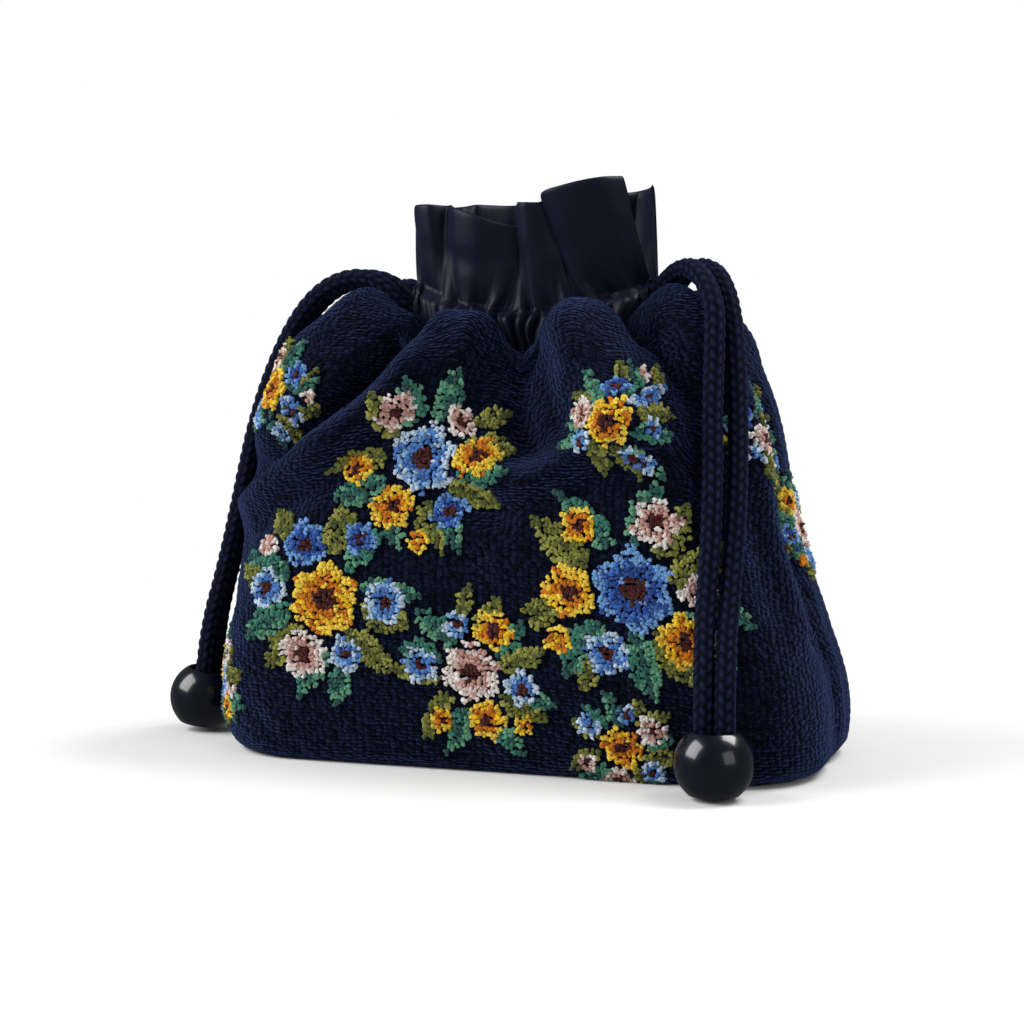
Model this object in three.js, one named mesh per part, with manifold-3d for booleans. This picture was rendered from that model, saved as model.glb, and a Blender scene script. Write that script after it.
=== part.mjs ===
// A gathered drawstring pouch: chenille body, lining, satin casing with frill, drawstrings and beads.
// Millimetres, +Z up. The front faces -Y, and the origin is the middle of the base.

import * as THREE from "three";
import { mergeVertices } from "three/addons/utils/BufferGeometryUtils.js";
import Module from "manifold-3d";

// Chenille body, outside sizes
const BODY_WIDTH = 169;
const BODY_DEPTH = 80;
const SHOULDER_HEIGHT = 123.5;
const SEAM_HEIGHT_SIDE = 119;
const SEAM_HEIGHT_FRONT = 108.5;
const NECK_WIDTH = 77;
const NECK_DEPTH = 34;
const CHENILLE_THICKNESS = 2.4;
const SIDE_SEAM_PINCH = 3.2;
const SIDE_SEAM_WIDTH = 8;
const BODY_LEAN = -3.5;

// The gap between two pieces that touch or are sewn together
const GAP = 0.3;

// Lining
const LINING_THICKNESS = 0.8;
const LINING_FIT = 1;

// Satin casing, which stands inside the neck seam, and the frill above it
const CASING_END_INSET = 5.5;
const CASING_SETBACK = 1.75;
const CASING_SWELL = 0.4;
const CASING_EDGE = 1;
const SATIN_THICKNESS = 0.6;
const GATHER_RISE = 2;
const FRILL_THICKNESS = 1.4;
const FRILL_HEIGHT = 27.7;
const PLEAT_DEPTH = 0.5;
const PLEATS = 13;

// Drawstrings
const CORD_DIAMETER = 5;
const CORD_SQUEEZED = 4.4;
const CORD_SIDES = 8;
const TAIL_STEPS = 19;
const LOOP_STEPS = 40;
const TURN_SLACK = 1;

// Beads: a ball with one flat cut, a bore for two strands and a wider recess for the knot
const BEAD_DIAMETER = 20;
const BEAD_FLAT_DROP = 7.7;
const BEAD_RECESS_DIAMETER = 12.6;
const BEAD_RECESS_DEPTH = 7;
const BEAD_CHAMFER = 0.6;
const BEAD_SIDES = 20;
const KNOT_HEIGHT = 5;
const KNOT_SIDES = 14;

// Raised flowers of the pile
const PILE_RISE = 1;
const BLOOM_RADIUS = 9.6;
const BUD_RADIUS = 5.2;
const LEAF_LENGTH = 13;
const LEAF_WIDTH = 7;

// Sizes that follow
const CHANNEL_WIDTH = CORD_SQUEEZED + 2 * GAP;
const CHANNEL_HEIGHT = 2 * CORD_SQUEEZED + 3 * GAP;
const CASING_HALF = CHANNEL_WIDTH / 2 + SATIN_THICKNESS;
const CASING_END_Y = CASING_HALF + CASING_SWELL + GAP / 2;
const LOW_CORD = SATIN_THICKNESS + GAP + CORD_SQUEEZED / 2;
const HIGH_CORD = LOW_CORD + CORD_SQUEEZED + GAP;
const CASING_ROOF = SATIN_THICKNESS + CHANNEL_HEIGHT;
const CASING_LENGTH = NECK_WIDTH - 2 * CASING_END_INSET;
const CASING_BULGE = NECK_DEPTH / 2 - CASING_SETBACK - CASING_HALF - CASING_SWELL - CASING_END_Y;
const GATHER_HEIGHT = CASING_ROOF + GATHER_RISE;

// Rows of the body from the base edge to the neck seam. Each holds the height at the sides and at the
// front as shares of the shoulder height, and the half width and half depth as shares of the body's.
const seamSide = SEAM_HEIGHT_SIDE / SHOULDER_HEIGHT;
const seamFront = SEAM_HEIGHT_FRONT / SHOULDER_HEIGHT;
const ROWS = [
  [0, 0, 0.92, 0.88],
  [0.012, 0.012, 0.965, 0.95],
  [0.05, 0.05, 0.995, 0.985],
  [0.16, 0.16, 1, 1],
  [0.29, 0.29, 0.965, 1],
  [0.405, 0.405, 0.925, 0.99],
  [0.52, 0.52, 0.88, 0.97],
  [0.63, 0.63, 0.845, 0.93],
  [0.725, 0.715, 0.81, 0.875],
  [0.81, 0.785, 0.77, 0.805],
  [0.885, 0.85, 0.72, 0.72],
  [0.945, 0.905, 0.665, 0.63],
  [0.985, 0.945, 0.615, 0.555],
  [1, 0.958, 0.556, 0.49],
  [(1 + seamSide) / 2 + 0.006, 0.93, 0.5, 0.436],
  [seamSide, seamFront, NECK_WIDTH / BODY_WIDTH, NECK_DEPTH / BODY_DEPTH],
];
const SHOULDER_ROW = 13;

// Rows of the lining, which hangs inside the folds: the height is a share of the way to the neck seam
const LINING_ROWS = [
  [0, 0.83, 0.74],
  [0.03, 0.89, 0.84],
  [0.12, 0.91, 0.88],
  [0.3, 0.85, 0.87],
  [0.48, 0.78, 0.82],
  [0.64, 0.71, 0.7],
  [0.77, 0.65, 0.6],
  [0.87, 0.57, 0.46],
  [0.94, 0.48, 0.37],
];

// Folds of the cloth, as lines of [share across the panel, share of the shoulder height]. A negative
// depth is a crease, a positive one a rounded ridge.
const FRONT_FOLDS = [
  { depth: -5.5, width: 5.5, line: [[0.3, 0.97], [0.22, 0.77], [0.13, 0.63], [0.05, 0.56]] },
  { depth: -5.5, width: 6.5, line: [[0.515, 1], [0.52, 0.95]] },
  { depth: -4.5, width: 9, line: [[0.525, 0.87], [0.53, 0.81], [0.55, 0.7]] },
  { depth: -4, width: 5, line: [[0.76, 0.98], [0.8, 0.86], [0.85, 0.74]] },
  { depth: 4, width: 10, line: [[0.385, 0.96], [0.34, 0.82], [0.27, 0.68]] },
  { depth: 6.5, width: 10, line: [[0.645, 0.97], [0.68, 0.84], [0.7, 0.74]] },
  { depth: 3, width: 7, line: [[0.72, 0.72], [0.65, 0.64], [0.56, 0.58]] },
  { depth: 5, width: 10, line: [[0.14, 1], [0.13, 0.9]] },
  { depth: 6, width: 8, line: [[0.85, 1], [0.86, 0.93]] },
  { depth: 7, width: 15, line: [[0.09, 0.8], [0.05, 0.62]] },
  { depth: -3, width: 8, line: [[0.96, 0.98], [0.95, 0.9]] },
];
const BACK_FOLDS = [
  { depth: -5, width: 6, line: [[0.33, 0.97], [0.27, 0.8], [0.2, 0.66]] },
  { depth: -5, width: 7, line: [[0.6, 0.98], [0.62, 0.82], [0.65, 0.68]] },
  { depth: 4.5, width: 11, line: [[0.46, 0.96], [0.46, 0.78], [0.42, 0.66]] },
  { depth: 4, width: 10, line: [[0.76, 0.96], [0.8, 0.8]] },
  { depth: 4.5, width: 10, line: [[0.14, 1], [0.13, 0.9]] },
  { depth: 4, width: 9, line: [[0.86, 1], [0.87, 0.92]] },
  { depth: -3, width: 8, line: [[0.96, 0.98], [0.95, 0.9]] },
  { depth: 5, width: 15, line: [[0.07, 0.8], [0.05, 0.62]] },
  { depth: 2.6, width: 24, line: [[0.42, 0.36], [0.6, 0.4]] },
];

// Frill: the top edge from one end to the other, as x and y in half lengths of the casing, and how far
// it stands above the frill's height at the front
const FRONT_FRILL = [
  [-1.02, -0.04, 0], [-0.98, -0.2, 0.3], [-0.84, -0.29, 0.3], [-0.72, -0.2, 0], [-0.65, -0.26, 0],
  [-0.56, -0.41, -1], [-0.38, -0.48, -3], [-0.2, -0.44, -5.5], [-0.12, -0.27, -6],
  [-0.1, -0.26, -2], [-0.05, -0.42, 0], [0.07, -0.53, 0], [0.17, -0.45, 0], [0.23, -0.35, 1],
  [0.33, -0.47, 3], [0.52, -0.58, 5], [0.71, -0.53, 6.2], [0.83, -0.38, 6.6],
];
const BACK_FRILL = [
  [0.95, 0.11, 5.2], [0.88, 0.27, 4.6], [0.77, 0.35, 4], [0.67, 0.27, 3.4], [0.55, 0.38, 3],
  [0.36, 0.5, 2.5], [0.2, 0.44, 2], [0.09, 0.29, 2], [-0.03, 0.35, 2], [-0.18, 0.5, 1.6],
  [-0.38, 0.52, 1], [-0.53, 0.39, 1], [-0.62, 0.28, 1], [-0.76, 0.35, 0.6], [-0.91, 0.28, 0.2],
  [-1.01, 0.13, 0],
];

// Free tails of the drawstrings, from the casing to the bead
const RIGHT_FRONT_TAIL = [
  [33.7, -4, 124.3], [37.2, -5.2, 127.2], [41, -8, 130], [45, -12, 131], [49, -16.4, 129.4],
  [52.4, -20.2, 125.4], [54.6, -23.2, 119.4], [55.2, -25.4, 111], [55.4, -27.2, 102],
  [55.8, -29.6, 92.5], [56.6, -32.6, 83], [57.2, -35.6, 73], [57.5, -38.2, 63.5],
  [57.5, -40.6, 54.5], [57.5, -43.2, 46], [58, -46.4, 38], [58.6, -49.1, 31], [58.85, -50.1, 26],
  [58.85, -50.2, 20], [58.85, -50.2, 8.7],
];
const RIGHT_BACK_TAIL = [
  [33.8, 4.1, 124.4], [37.6, 4.6, 127.2], [42, 2.2, 130.2], [47, -2.2, 131.2], [51.6, -7, 129.2],
  [55.2, -11.8, 124.4], [57.6, -16, 118.4], [59.2, -19.8, 111.5], [60.4, -22.4, 103],
  [61.2, -24.6, 94], [62, -27.6, 84.5], [62.7, -31.2, 75], [62.9, -34.2, 66],
  [62.9, -37.2, 56.5], [63, -40.6, 47.5], [63.3, -44.9, 39], [63.9, -48.5, 32], [64.15, -50, 26],
  [64.15, -50.2, 20], [64.15, -50.2, 8.7],
];
const LEFT_FRONT_TAIL = [
  [-34, -4, 119.5], [-37.4, -5, 122], [-41.5, -5.4, 126], [-46.6, -5.3, 128.6], [-52.6, -5.3, 128.8],
  [-58.6, -5.5, 126.6], [-64, -5.7, 122.2], [-68.8, -5.9, 115.8], [-73.2, -6, 107.6],
  [-77.2, -6.2, 98], [-80.6, -6.3, 87.6], [-83.4, -6.4, 76.6], [-86, -6.4, 65.6],
  [-88.6, -6.5, 55], [-91.4, -6.5, 44.8], [-94.2, -6.5, 35.4], [-96, -6.5, 27.4],
  [-97.2, -6.5, 19.5], [-98.8, -6.5, 9.5],
];
const LEFT_BACK_TAIL = [
  [-34, 4, 119.5], [-37.4, 5, 122], [-41.5, 4.6, 126], [-46.6, 3, 128.6], [-52.6, 1.4, 128.8],
  [-58.6, 0.5, 126.6], [-64, 0, 122.2], [-68.8, -0.3, 115.8], [-73.2, -0.5, 107.6],
  [-77.2, -0.7, 98], [-80.6, -0.8, 87.6], [-83.6, -0.9, 76.6], [-86.4, -1, 65.6],
  [-89.2, -1.1, 55], [-92.2, -1.2, 44.8], [-94.6, -1.2, 35.6], [-96, -1.2, 27.4],
  [-97.2, -1.2, 19.5], [-98.8, -1.2, 9.5],
];

// Beads: middle of the ball and lean of its axis towards +X
const RIGHT_BEAD = { x: 61.5, y: -50.2, z: 9, lean: 0 };
const LEFT_BEAD = { x: -98.8, y: -3.85, z: 9.6, lean: 9 };

// Colours of the cloths and of the bead
const NAVY_PILE = 0x1b2340;
const NAVY_SATIN = 0x171b2a;
const NAVY_CORD = 0x1a2038;
const NAVY_BEAD = 0x161a22;
const PILE_COLOURS = {
  yellow: 0xe8b424,
  blue: 0x4678c0,
  pale: 0xdfc9c2,
  sky: 0x88b4dc,
  olive: 0x74783a,
  teal: 0x3c7868,
};

const wasm = await Module();
wasm.setup();

function clothMaterial(colour, roughness) {
  return new THREE.MeshStandardMaterial({ color: colour, roughness, metalness: 0 });
}

// A geometry whose shared corners are merged and whose collapsed triangles are gone
function closedGeometry(geometry) {
  geometry.deleteAttribute("normal");
  geometry.deleteAttribute("uv");
  const merged = mergeVertices(geometry, 1e-4);
  const index = merged.index.array;
  const kept = [];
  for (let i = 0; i < index.length; i += 3) {
    const [a, b, c] = [index[i], index[i + 1], index[i + 2]];
    if (a !== b && b !== c && a !== c) kept.push(a, b, c);
  }
  merged.setIndex(kept);
  merged.computeVertexNormals();
  return merged;
}

function geometryOf(points, triangles) {
  const geometry = new THREE.BufferGeometry();
  const flat = points.flatMap((p) => [p.x, p.y, p.z]);
  geometry.setAttribute("position", new THREE.Float32BufferAttribute(flat, 3));
  geometry.setIndex(triangles);
  return closedGeometry(geometry);
}

function solidOf(geometry) {
  const vertProperties = new Float32Array(geometry.attributes.position.array);
  const triVerts = new Uint32Array(geometry.index.array);
  return new wasm.Manifold(new wasm.Mesh({ numProp: 3, vertProperties, triVerts }));
}

function geometryOfSolid(solid) {
  const { numProp, vertProperties, triVerts } = solid.getMesh();
  const points = [];
  for (let i = 0; i < vertProperties.length; i += numProp) {
    points.push(new THREE.Vector3(vertProperties[i], vertProperties[i + 1], vertProperties[i + 2]));
  }
  return geometryOf(points, Array.from(triVerts));
}

// Half of a rounded rectangle on the -Y side, by its share of arc length from -X to +X
function halfOutline(share, halfWidth, halfDepth, radius) {
  const mirrored = share > 0.5;
  const straight = halfDepth - radius;
  const arc = (Math.PI / 2) * radius;
  const total = 2 * (straight + arc + halfWidth - radius);
  const run = (mirrored ? 1 - share : share) * total;
  let x = -halfWidth;
  let y = -run;
  if (run > straight + arc) {
    x = -(halfWidth - radius) + run - straight - arc;
    y = -halfDepth;
  } else if (run > straight) {
    const turn = (run - straight) / radius;
    x = -(halfWidth - radius) - radius * Math.cos(turn);
    y = -straight - radius * Math.sin(turn);
  }
  return [mirrored ? -x : x, y];
}

function cornerRadius(halfDepth, heightShare) {
  return halfDepth * (0.64 + 0.34 * heightShare ** 1.6);
}

// Distance from a point to a line of points, all in millimetres
function distanceToLine(across, height, line) {
  let nearest = Infinity;
  for (let i = 0; i + 1 < line.length; i += 1) {
    const [ax, az] = line[i];
    const [bx, bz] = line[i + 1];
    const length2 = (bx - ax) ** 2 + (bz - az) ** 2;
    const along = ((across - ax) * (bx - ax) + (height - az) * (bz - az)) / length2;
    const t = Math.min(1, Math.max(0, along));
    nearest = Math.min(nearest, Math.hypot(across - ax - t * (bx - ax), height - az - t * (bz - az)));
  }
  return nearest;
}

// How far the folds and the side seams move the cloth out (+) or in (-)
function foldDepth(share, heightShare, row, folds) {
  if (row < 2) return 0;
  const fade = Math.min(1, Math.max(0, (ROWS.length - 1 - row) / (ROWS.length - SHOULDER_ROW)));
  const across = share * BODY_WIDTH;
  const height = heightShare * SHOULDER_HEIGHT;
  let depth = 0;
  for (const fold of folds) {
    const line = fold.line.map(([a, h]) => [a * BODY_WIDTH, h * SHOULDER_HEIGHT]);
    depth += fold.depth * Math.exp(-((distanceToLine(across, height, line) / fold.width) ** 2));
  }
  const edge = Math.min(share, 1 - share) * BODY_WIDTH;
  depth -= SIDE_SEAM_PINCH * Math.exp(-((edge / SIDE_SEAM_WIDTH) ** 2)) * Math.min(1, row / 5);
  return depth * fade;
}

function seamHeight(x) {
  const side = Math.min(1, Math.abs(x) / (NECK_WIDTH / 2));
  return SEAM_HEIGHT_FRONT + (SEAM_HEIGHT_SIDE - SEAM_HEIGHT_FRONT) * side ** 2;
}

// Unit normals of a grid of points, pointing away from the inside
function gridNormals(grid) {
  return grid.map((row, r) => row.map((point, c) => {
    const before = row[Math.max(0, c - 1)];
    const after = row[Math.min(row.length - 1, c + 1)];
    const below = grid[Math.max(0, r - 1)][c];
    const above = grid[Math.min(grid.length - 1, r + 1)][c];
    const across = new THREE.Vector3().subVectors(after, before);
    const up = new THREE.Vector3().subVectors(above, below);
    const normal = across.cross(up).normalize();
    if (c === 0 || c === row.length - 1) normal.setY(0).normalize();
    return normal;
  }));
}

function movedGrid(grid, normals, distanceAt) {
  return grid.map((row, r) => row.map((point, c) => {
    return point.clone().addScaledVector(normals[r][c], distanceAt(r, c));
  }));
}

// Front half of the body's outer surface: a row along the base seam, then the rows up to the neck
function bodyGrid(columns, folds) {
  const edgeY = GAP / 2;
  const walls = ROWS.map(([side, front, widthShare, depthShare]) => {
    const halfWidth = (widthShare * BODY_WIDTH) / 2;
    const halfDepth = (depthShare * BODY_DEPTH) / 2;
    const radius = cornerRadius(halfDepth, side);
    return Array.from({ length: columns + 1 }, (_, c) => {
      const [x, y] = halfOutline(c / columns, halfWidth, halfDepth, radius);
      const middle = 1 - (x / halfWidth) ** 2;
      const z = (side + (front - side) * middle) * SHOULDER_HEIGHT;
      const lean = BODY_LEAN * Math.sin(Math.PI * Math.min(1, side / seamSide)) ** 2;
      return new THREE.Vector3(x + lean, Math.min(y, -edgeY), z);
    });
  });
  const normals = gridNormals(walls);
  normals.slice(SHOULDER_ROW - 1).flat().forEach((normal) => normal.set(0, 0, 1));
  const folded = movedGrid(walls, normals, (r, c) => foldDepth(c / columns, ROWS[r][0], r, folds));
  const baseSeam = folded[0].map((point) => new THREE.Vector3(point.x, -edgeY, 0));
  return [baseSeam, ...folded];
}

// Normals for thickness: straight down under the base, level at the base edge's own slope above it
function clothNormals(grid) {
  const normals = gridNormals(grid);
  normals[0].forEach((normal) => normal.set(0, 0, -1));
  normals[1].forEach((normal) => normal.add(new THREE.Vector3(0, 0, -1)).normalize());
  return normals;
}

function addSheet(points, triangles, grid, flip) {
  const start = points.length;
  const columns = grid[0].length;
  grid.forEach((row) => points.push(...row));
  for (let r = 0; r + 1 < grid.length; r += 1) {
    for (let c = 0; c + 1 < columns; c += 1) {
      const a = start + r * columns + c;
      const quad = [a, a + 1, a + columns + 1, a, a + columns + 1, a + columns];
      triangles.push(...(flip ? quad.reverse() : quad));
    }
  }
}

// A cloth panel between an outer and an inner sheet, closed round its four edges
function panelGeometry(outer, inner, mirrored) {
  const points = [];
  const triangles = [];
  const top = outer.length - 1;
  const right = outer[0].length - 1;
  const column = (grid, c) => grid.map((row) => row[c]);
  addSheet(points, triangles, outer, false);
  addSheet(points, triangles, inner, true);
  addSheet(points, triangles, [inner[0], outer[0]], false);
  addSheet(points, triangles, [outer[top], inner[top]], false);
  addSheet(points, triangles, [column(outer, 0), column(inner, 0)], false);
  addSheet(points, triangles, [column(inner, right), column(outer, right)], false);
  if (mirrored) mirrorFront(points, triangles);
  return geometryOf(points, triangles);
}

// Turns a front half into a back half: the points swap to +Y and the triangles keep facing out
function mirrorFront(points, triangles) {
  points.forEach((point, i) => {
    points[i] = new THREE.Vector3(point.x, -point.y, point.z);
  });
  triangles.reverse();
}

function outerPanel(columns, folds, mirrored) {
  const outer = bodyGrid(columns, folds);
  const inner = movedGrid(outer, clothNormals(outer), () => -CHENILLE_THICKNESS);
  return panelGeometry(outer, inner, mirrored);
}

// The pile layer in which the flowers stand, just clear of the body
function pileLayer(columns, folds, mirrored) {
  const cloth = bodyGrid(columns, folds);
  const normals = clothNormals(cloth);
  const low = movedGrid(cloth, normals, () => GAP);
  const high = movedGrid(cloth, normals, () => GAP + PILE_RISE);
  return solidOf(panelGeometry(high, low, mirrored));
}

// The lining is one bag. It hangs slack in the body and is sewn in at the neck seam.
function liningGeometry(columns) {
  const points = [];
  const triangles = [];
  const lift = CHENILLE_THICKNESS + GAP;
  const inNeck = (size) => size - 2 * LINING_FIT;
  const neck = [1, inNeck(NECK_WIDTH) / BODY_WIDTH, inNeck(NECK_DEPTH) / BODY_DEPTH];
  const walls = [...LINING_ROWS, neck].map(([heightShare, widthShare, depthShare]) => {
    const halfWidth = (widthShare * BODY_WIDTH) / 2;
    const halfDepth = (depthShare * BODY_DEPTH) / 2;
    return Array.from({ length: columns + 1 }, (_, c) => {
      const [x, y] = halfOutline(c / columns, halfWidth, halfDepth, cornerRadius(halfDepth, heightShare));
      return new THREE.Vector3(x, y, lift + heightShare * (seamHeight(x) - lift));
    });
  });
  const cloth = [walls[0].map((point) => new THREE.Vector3(point.x, 0, lift)), ...walls];
  const inner = movedGrid(cloth, clothNormals(cloth), () => -LINING_THICKNESS);
  const top = cloth.length - 1;
  for (const mirrored of [false, true]) {
    const half = [];
    const faces = [];
    addSheet(half, faces, cloth, false);
    addSheet(half, faces, inner, true);
    addSheet(half, faces, [cloth[top], inner[top]], false);
    if (mirrored) mirrorFront(half, faces);
    const start = points.length;
    points.push(...half);
    triangles.push(...faces.map((i) => i + start));
  }
  return geometryOf(points, triangles);
}

// Line of the casing in plan, from one side slit to the other. It is flat in the middle, and its ends
// run straight out to the sides.
function casingPoint(share, front) {
  const t = 2 * share - 1;
  const straightEnds = 1.07;
  const bulge = CASING_BULGE * (1 - Math.min(1, Math.abs(t) * straightEnds) ** 4) ** 1.3;
  const y = CASING_END_Y + bulge;
  return front ? [t * CASING_LENGTH / 2, -y] : [-t * CASING_LENGTH / 2, y];
}

// Casing and frill: one folded strip of satin that ends at the side slits, with the channel open there
function satinBand(front, frillPoints, steps) {
  const half = CASING_LENGTH / 2;
  const corners = frillPoints.map(([x, y, extra]) => new THREE.Vector3(x * half, y * half, extra));
  const crest = new THREE.CatmullRomCurve3(corners);
  const planAt = (share, lift) => {
    const [x, y] = casingPoint(share, front);
    const top = crest.getPoint(share);
    const spread = lift ** 0.8;
    return [x + (top.x - x) * spread, y + (top.y - y) * spread];
  };
  const place = (share, lift, out, z) => {
    const step = 0.5 / steps;
    const [ax, ay] = planAt(Math.max(0, share - step), lift);
    const [bx, by] = planAt(Math.min(1, share + step), lift);
    const length = Math.hypot(bx - ax, by - ay);
    const [x, y] = planAt(share, lift);
    return new THREE.Vector3(x + (out * (by - ay)) / length, y - (out * (bx - ax)) / length, z);
  };
  const sectionAt = (share) => {
    const foot = seamHeight(casingPoint(share, front)[0]) + GAP;
    const crestHeight = SEAM_HEIGHT_FRONT + GATHER_HEIGHT + FRILL_HEIGHT + crest.getPoint(share).z;
    const ends = Math.sin(Math.PI * share) ** 0.4;
    const pleat = PLEAT_DEPTH * ends * Math.cos(2 * Math.PI * PLEATS * share);
    const thin = FRILL_THICKNESS / 2;
    const rise = (lift) => foot + GATHER_HEIGHT + lift * (crestHeight - foot - GATHER_HEIGHT);
    const belly = foot + CASING_ROOF * 0.45;
    const pleated = (s, depth) => s * CASING_HALF + Math.max(0, s) * depth;
    const side = (s) => [
      [0, s * CASING_HALF, foot],
      [0, pleated(s, pleat + PLEAT_DEPTH) + s * CASING_SWELL, belly],
      [0, pleated(s, pleat), foot + CASING_ROOF],
      [0, s * thin, rise(0)],
      [0.3, s * thin, rise(0.3)],
      [0.65, s * thin, rise(0.65)],
      [1, s * thin, rise(1) - thin],
    ];
    const outside = side(1);
    const inside = side(-1).reverse();
    const crown = [1, 0, rise(1)];
    const shell = [...outside, crown, ...inside].map(([lift, out, z]) => place(share, lift, out, z));
    const floorZ = foot + SATIN_THICKNESS;
    const roofZ = foot + CASING_ROOF;
    const wall = CHANNEL_WIDTH / 2;
    const hole = [
      [wall, floorZ],
      [wall, roofZ - CASING_EDGE],
      [wall - CASING_EDGE, roofZ],
      [CASING_EDGE - wall, roofZ],
      [-wall, roofZ - CASING_EDGE],
      [-wall, floorZ],
    ].map(([out, z]) => place(share, 0, out, z));
    return { shell, hole };
  };
  const sections = Array.from({ length: steps + 1 }, (_, i) => sectionAt(i / steps));
  const points = [];
  const triangles = [];
  const loop = (list) => [...list, list[0]];
  addSheet(points, triangles, sections.map((s) => loop(s.shell)), false);
  addSheet(points, triangles, sections.map((s) => loop(s.hole)), true);
  for (const last of [false, true]) {
    const { shell, hole } = sections[last ? steps : 0];
    const flat = (list) => list.map((p) => new THREE.Vector2(flatAcross(p, shell), p.z));
    const start = points.length;
    points.push(...shell, ...hole);
    const faces = THREE.ShapeUtils.triangulateShape(flat(shell), [flat(hole)]).flat();
    const turn = last ? faces : faces.reverse();
    triangles.push(...turn.map((i) => i + start));
  }
  return outward(geometryOf(points, triangles));
}

// Distance of a point across the section's own end plane, from the foot of the section
function flatAcross(point, shell) {
  const foot = shell[0];
  const back = shell[shell.length - 1];
  const across = new THREE.Vector2(foot.x - back.x, foot.y - back.y).normalize();
  return (point.x - foot.x) * across.x + (point.y - foot.y) * across.y;
}

// Turns a closed geometry's triangles if they face in
function outward(geometry) {
  const p = geometry.attributes.position;
  const index = Array.from(geometry.index.array);
  const corner = (i) => new THREE.Vector3().fromBufferAttribute(p, i);
  let volume = 0;
  for (let i = 0; i < index.length; i += 3) {
    volume += corner(index[i]).dot(corner(index[i + 1]).cross(corner(index[i + 2])));
  }
  if (volume < 0) geometry.setIndex(index.reverse());
  return geometry;
}

// A round cord along a smooth line through its points
function cordGeometry(points, diameter, steps) {
  const section = new THREE.Shape();
  section.absarc(0, 0, diameter / 2, 0, 2 * Math.PI);
  const ring = new THREE.Shape(section.getPoints(CORD_SIDES).slice(0, CORD_SIDES));
  const path = new THREE.CatmullRomCurve3(points);
  const geometry = new THREE.ExtrudeGeometry(ring, { steps, extrudePath: path, bevelEnabled: false });
  return outward(closedGeometry(geometry));
}

function tailGeometry(points) {
  return cordGeometry(points.map((p) => new THREE.Vector3(...p)), CORD_DIAMETER, TAIL_STEPS);
}

// The stretch of one drawstring that the casing holds, round both halves of the neck. It starts and
// ends on the side where its tails leave, and turns back in the open slit on the other side.
function heldLoopGeometry(tailSide, height, turnDrop) {
  const points = [];
  const stations = 9;
  const turnRun = CASING_END_Y * 0.7;
  const at = (share, front) => {
    const [x, y] = casingPoint(share, front);
    points.push(new THREE.Vector3(x, y, seamHeight(x) + GAP + height));
  };
  for (let i = 0; i <= stations; i += 1) at(i / stations, true);
  const turnX = CASING_LENGTH / 2 + CASING_END_Y + TURN_SLACK;
  const turnZ = SEAM_HEIGHT_SIDE + GAP + height - turnDrop;
  points.push(new THREE.Vector3(turnX - TURN_SLACK, -turnRun, turnZ));
  points.push(new THREE.Vector3(turnX, 0, turnZ));
  points.push(new THREE.Vector3(turnX - TURN_SLACK, turnRun, turnZ));
  for (let i = 0; i <= stations; i += 1) at(i / stations, false);
  const turned = points.map((p) => new THREE.Vector3(-tailSide * p.x, -tailSide * p.y, p.z));
  return cordGeometry(turned, CORD_SQUEEZED, LOOP_STEPS);
}

// Ball with a flat cut below, a bore for the strands and a recess for the knot
function beadGeometry() {
  const radius = BEAD_DIAMETER / 2;
  const bore = CORD_DIAMETER + GAP / 2 + GAP;
  const recess = BEAD_RECESS_DIAMETER / 2;
  const recessTop = -BEAD_FLAT_DROP + BEAD_RECESS_DEPTH;
  const flatAngle = Math.asin(-BEAD_FLAT_DROP / radius);
  const topAngle = Math.acos((bore + BEAD_CHAMFER) / radius);
  const profile = [];
  const arcs = 9;
  for (let i = 0; i <= arcs; i += 1) {
    const angle = flatAngle + ((topAngle - flatAngle) * i) / arcs;
    profile.push(new THREE.Vector2(radius * Math.cos(angle), radius * Math.sin(angle)));
  }
  profile.push(new THREE.Vector2(bore, radius * Math.sin(topAngle) - BEAD_CHAMFER));
  profile.push(new THREE.Vector2(bore, recessTop));
  profile.push(new THREE.Vector2(recess, recessTop));
  profile.push(new THREE.Vector2(recess, -BEAD_FLAT_DROP));
  profile.push(profile[0].clone());
  const geometry = new THREE.LatheGeometry(profile, BEAD_SIDES);
  geometry.rotateX(Math.PI / 2);
  return outward(closedGeometry(geometry));
}

// The knot that both strands end in, inside the bead's recess
function knotGeometry() {
  const radius = BEAD_RECESS_DIAMETER / 2 - 2 * GAP;
  const half = KNOT_HEIGHT / 2;
  const profile = [[0, -half], [radius * 0.6, -half], [radius, -half * 0.35], [radius, half * 0.35],
    [radius * 0.75, half], [0, half]].map(([r, z]) => new THREE.Vector2(r, z));
  const geometry = new THREE.LatheGeometry(profile, KNOT_SIDES);
  geometry.rotateX(Math.PI / 2);
  return outward(closedGeometry(geometry));
}

function cordEnd(side, place) {
  const group = new THREE.Group();
  group.position.set(place.x, place.y, place.z);
  group.rotation.y = (place.lean * Math.PI) / 180;
  const bead = new THREE.Mesh(beadGeometry(), new THREE.MeshStandardMaterial({
    color: NAVY_BEAD, roughness: 0.16, metalness: 0,
  }));
  bead.name = `bead_${side}`;
  const knot = new THREE.Mesh(knotGeometry(), clothMaterial(NAVY_CORD, 0.85));
  knot.name = `knot_${side}`;
  knot.position.z = BEAD_RECESS_DEPTH - BEAD_FLAT_DROP - GAP - KNOT_HEIGHT / 2;
  group.add(bead, knot);
  return group;
}

// Outlines of the raised flowers, round their own middle
function bloomShape(radius, petals) {
  const outline = [];
  const corners = petals * 3;
  for (let i = 0; i < corners; i += 1) {
    const angle = (2 * Math.PI * i) / corners;
    const reach = i % 3 === 0 ? radius * 0.74 : radius;
    outline.push(new THREE.Vector2(reach * Math.cos(angle), reach * Math.sin(angle)));
  }
  return new THREE.Shape(outline);
}

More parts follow.
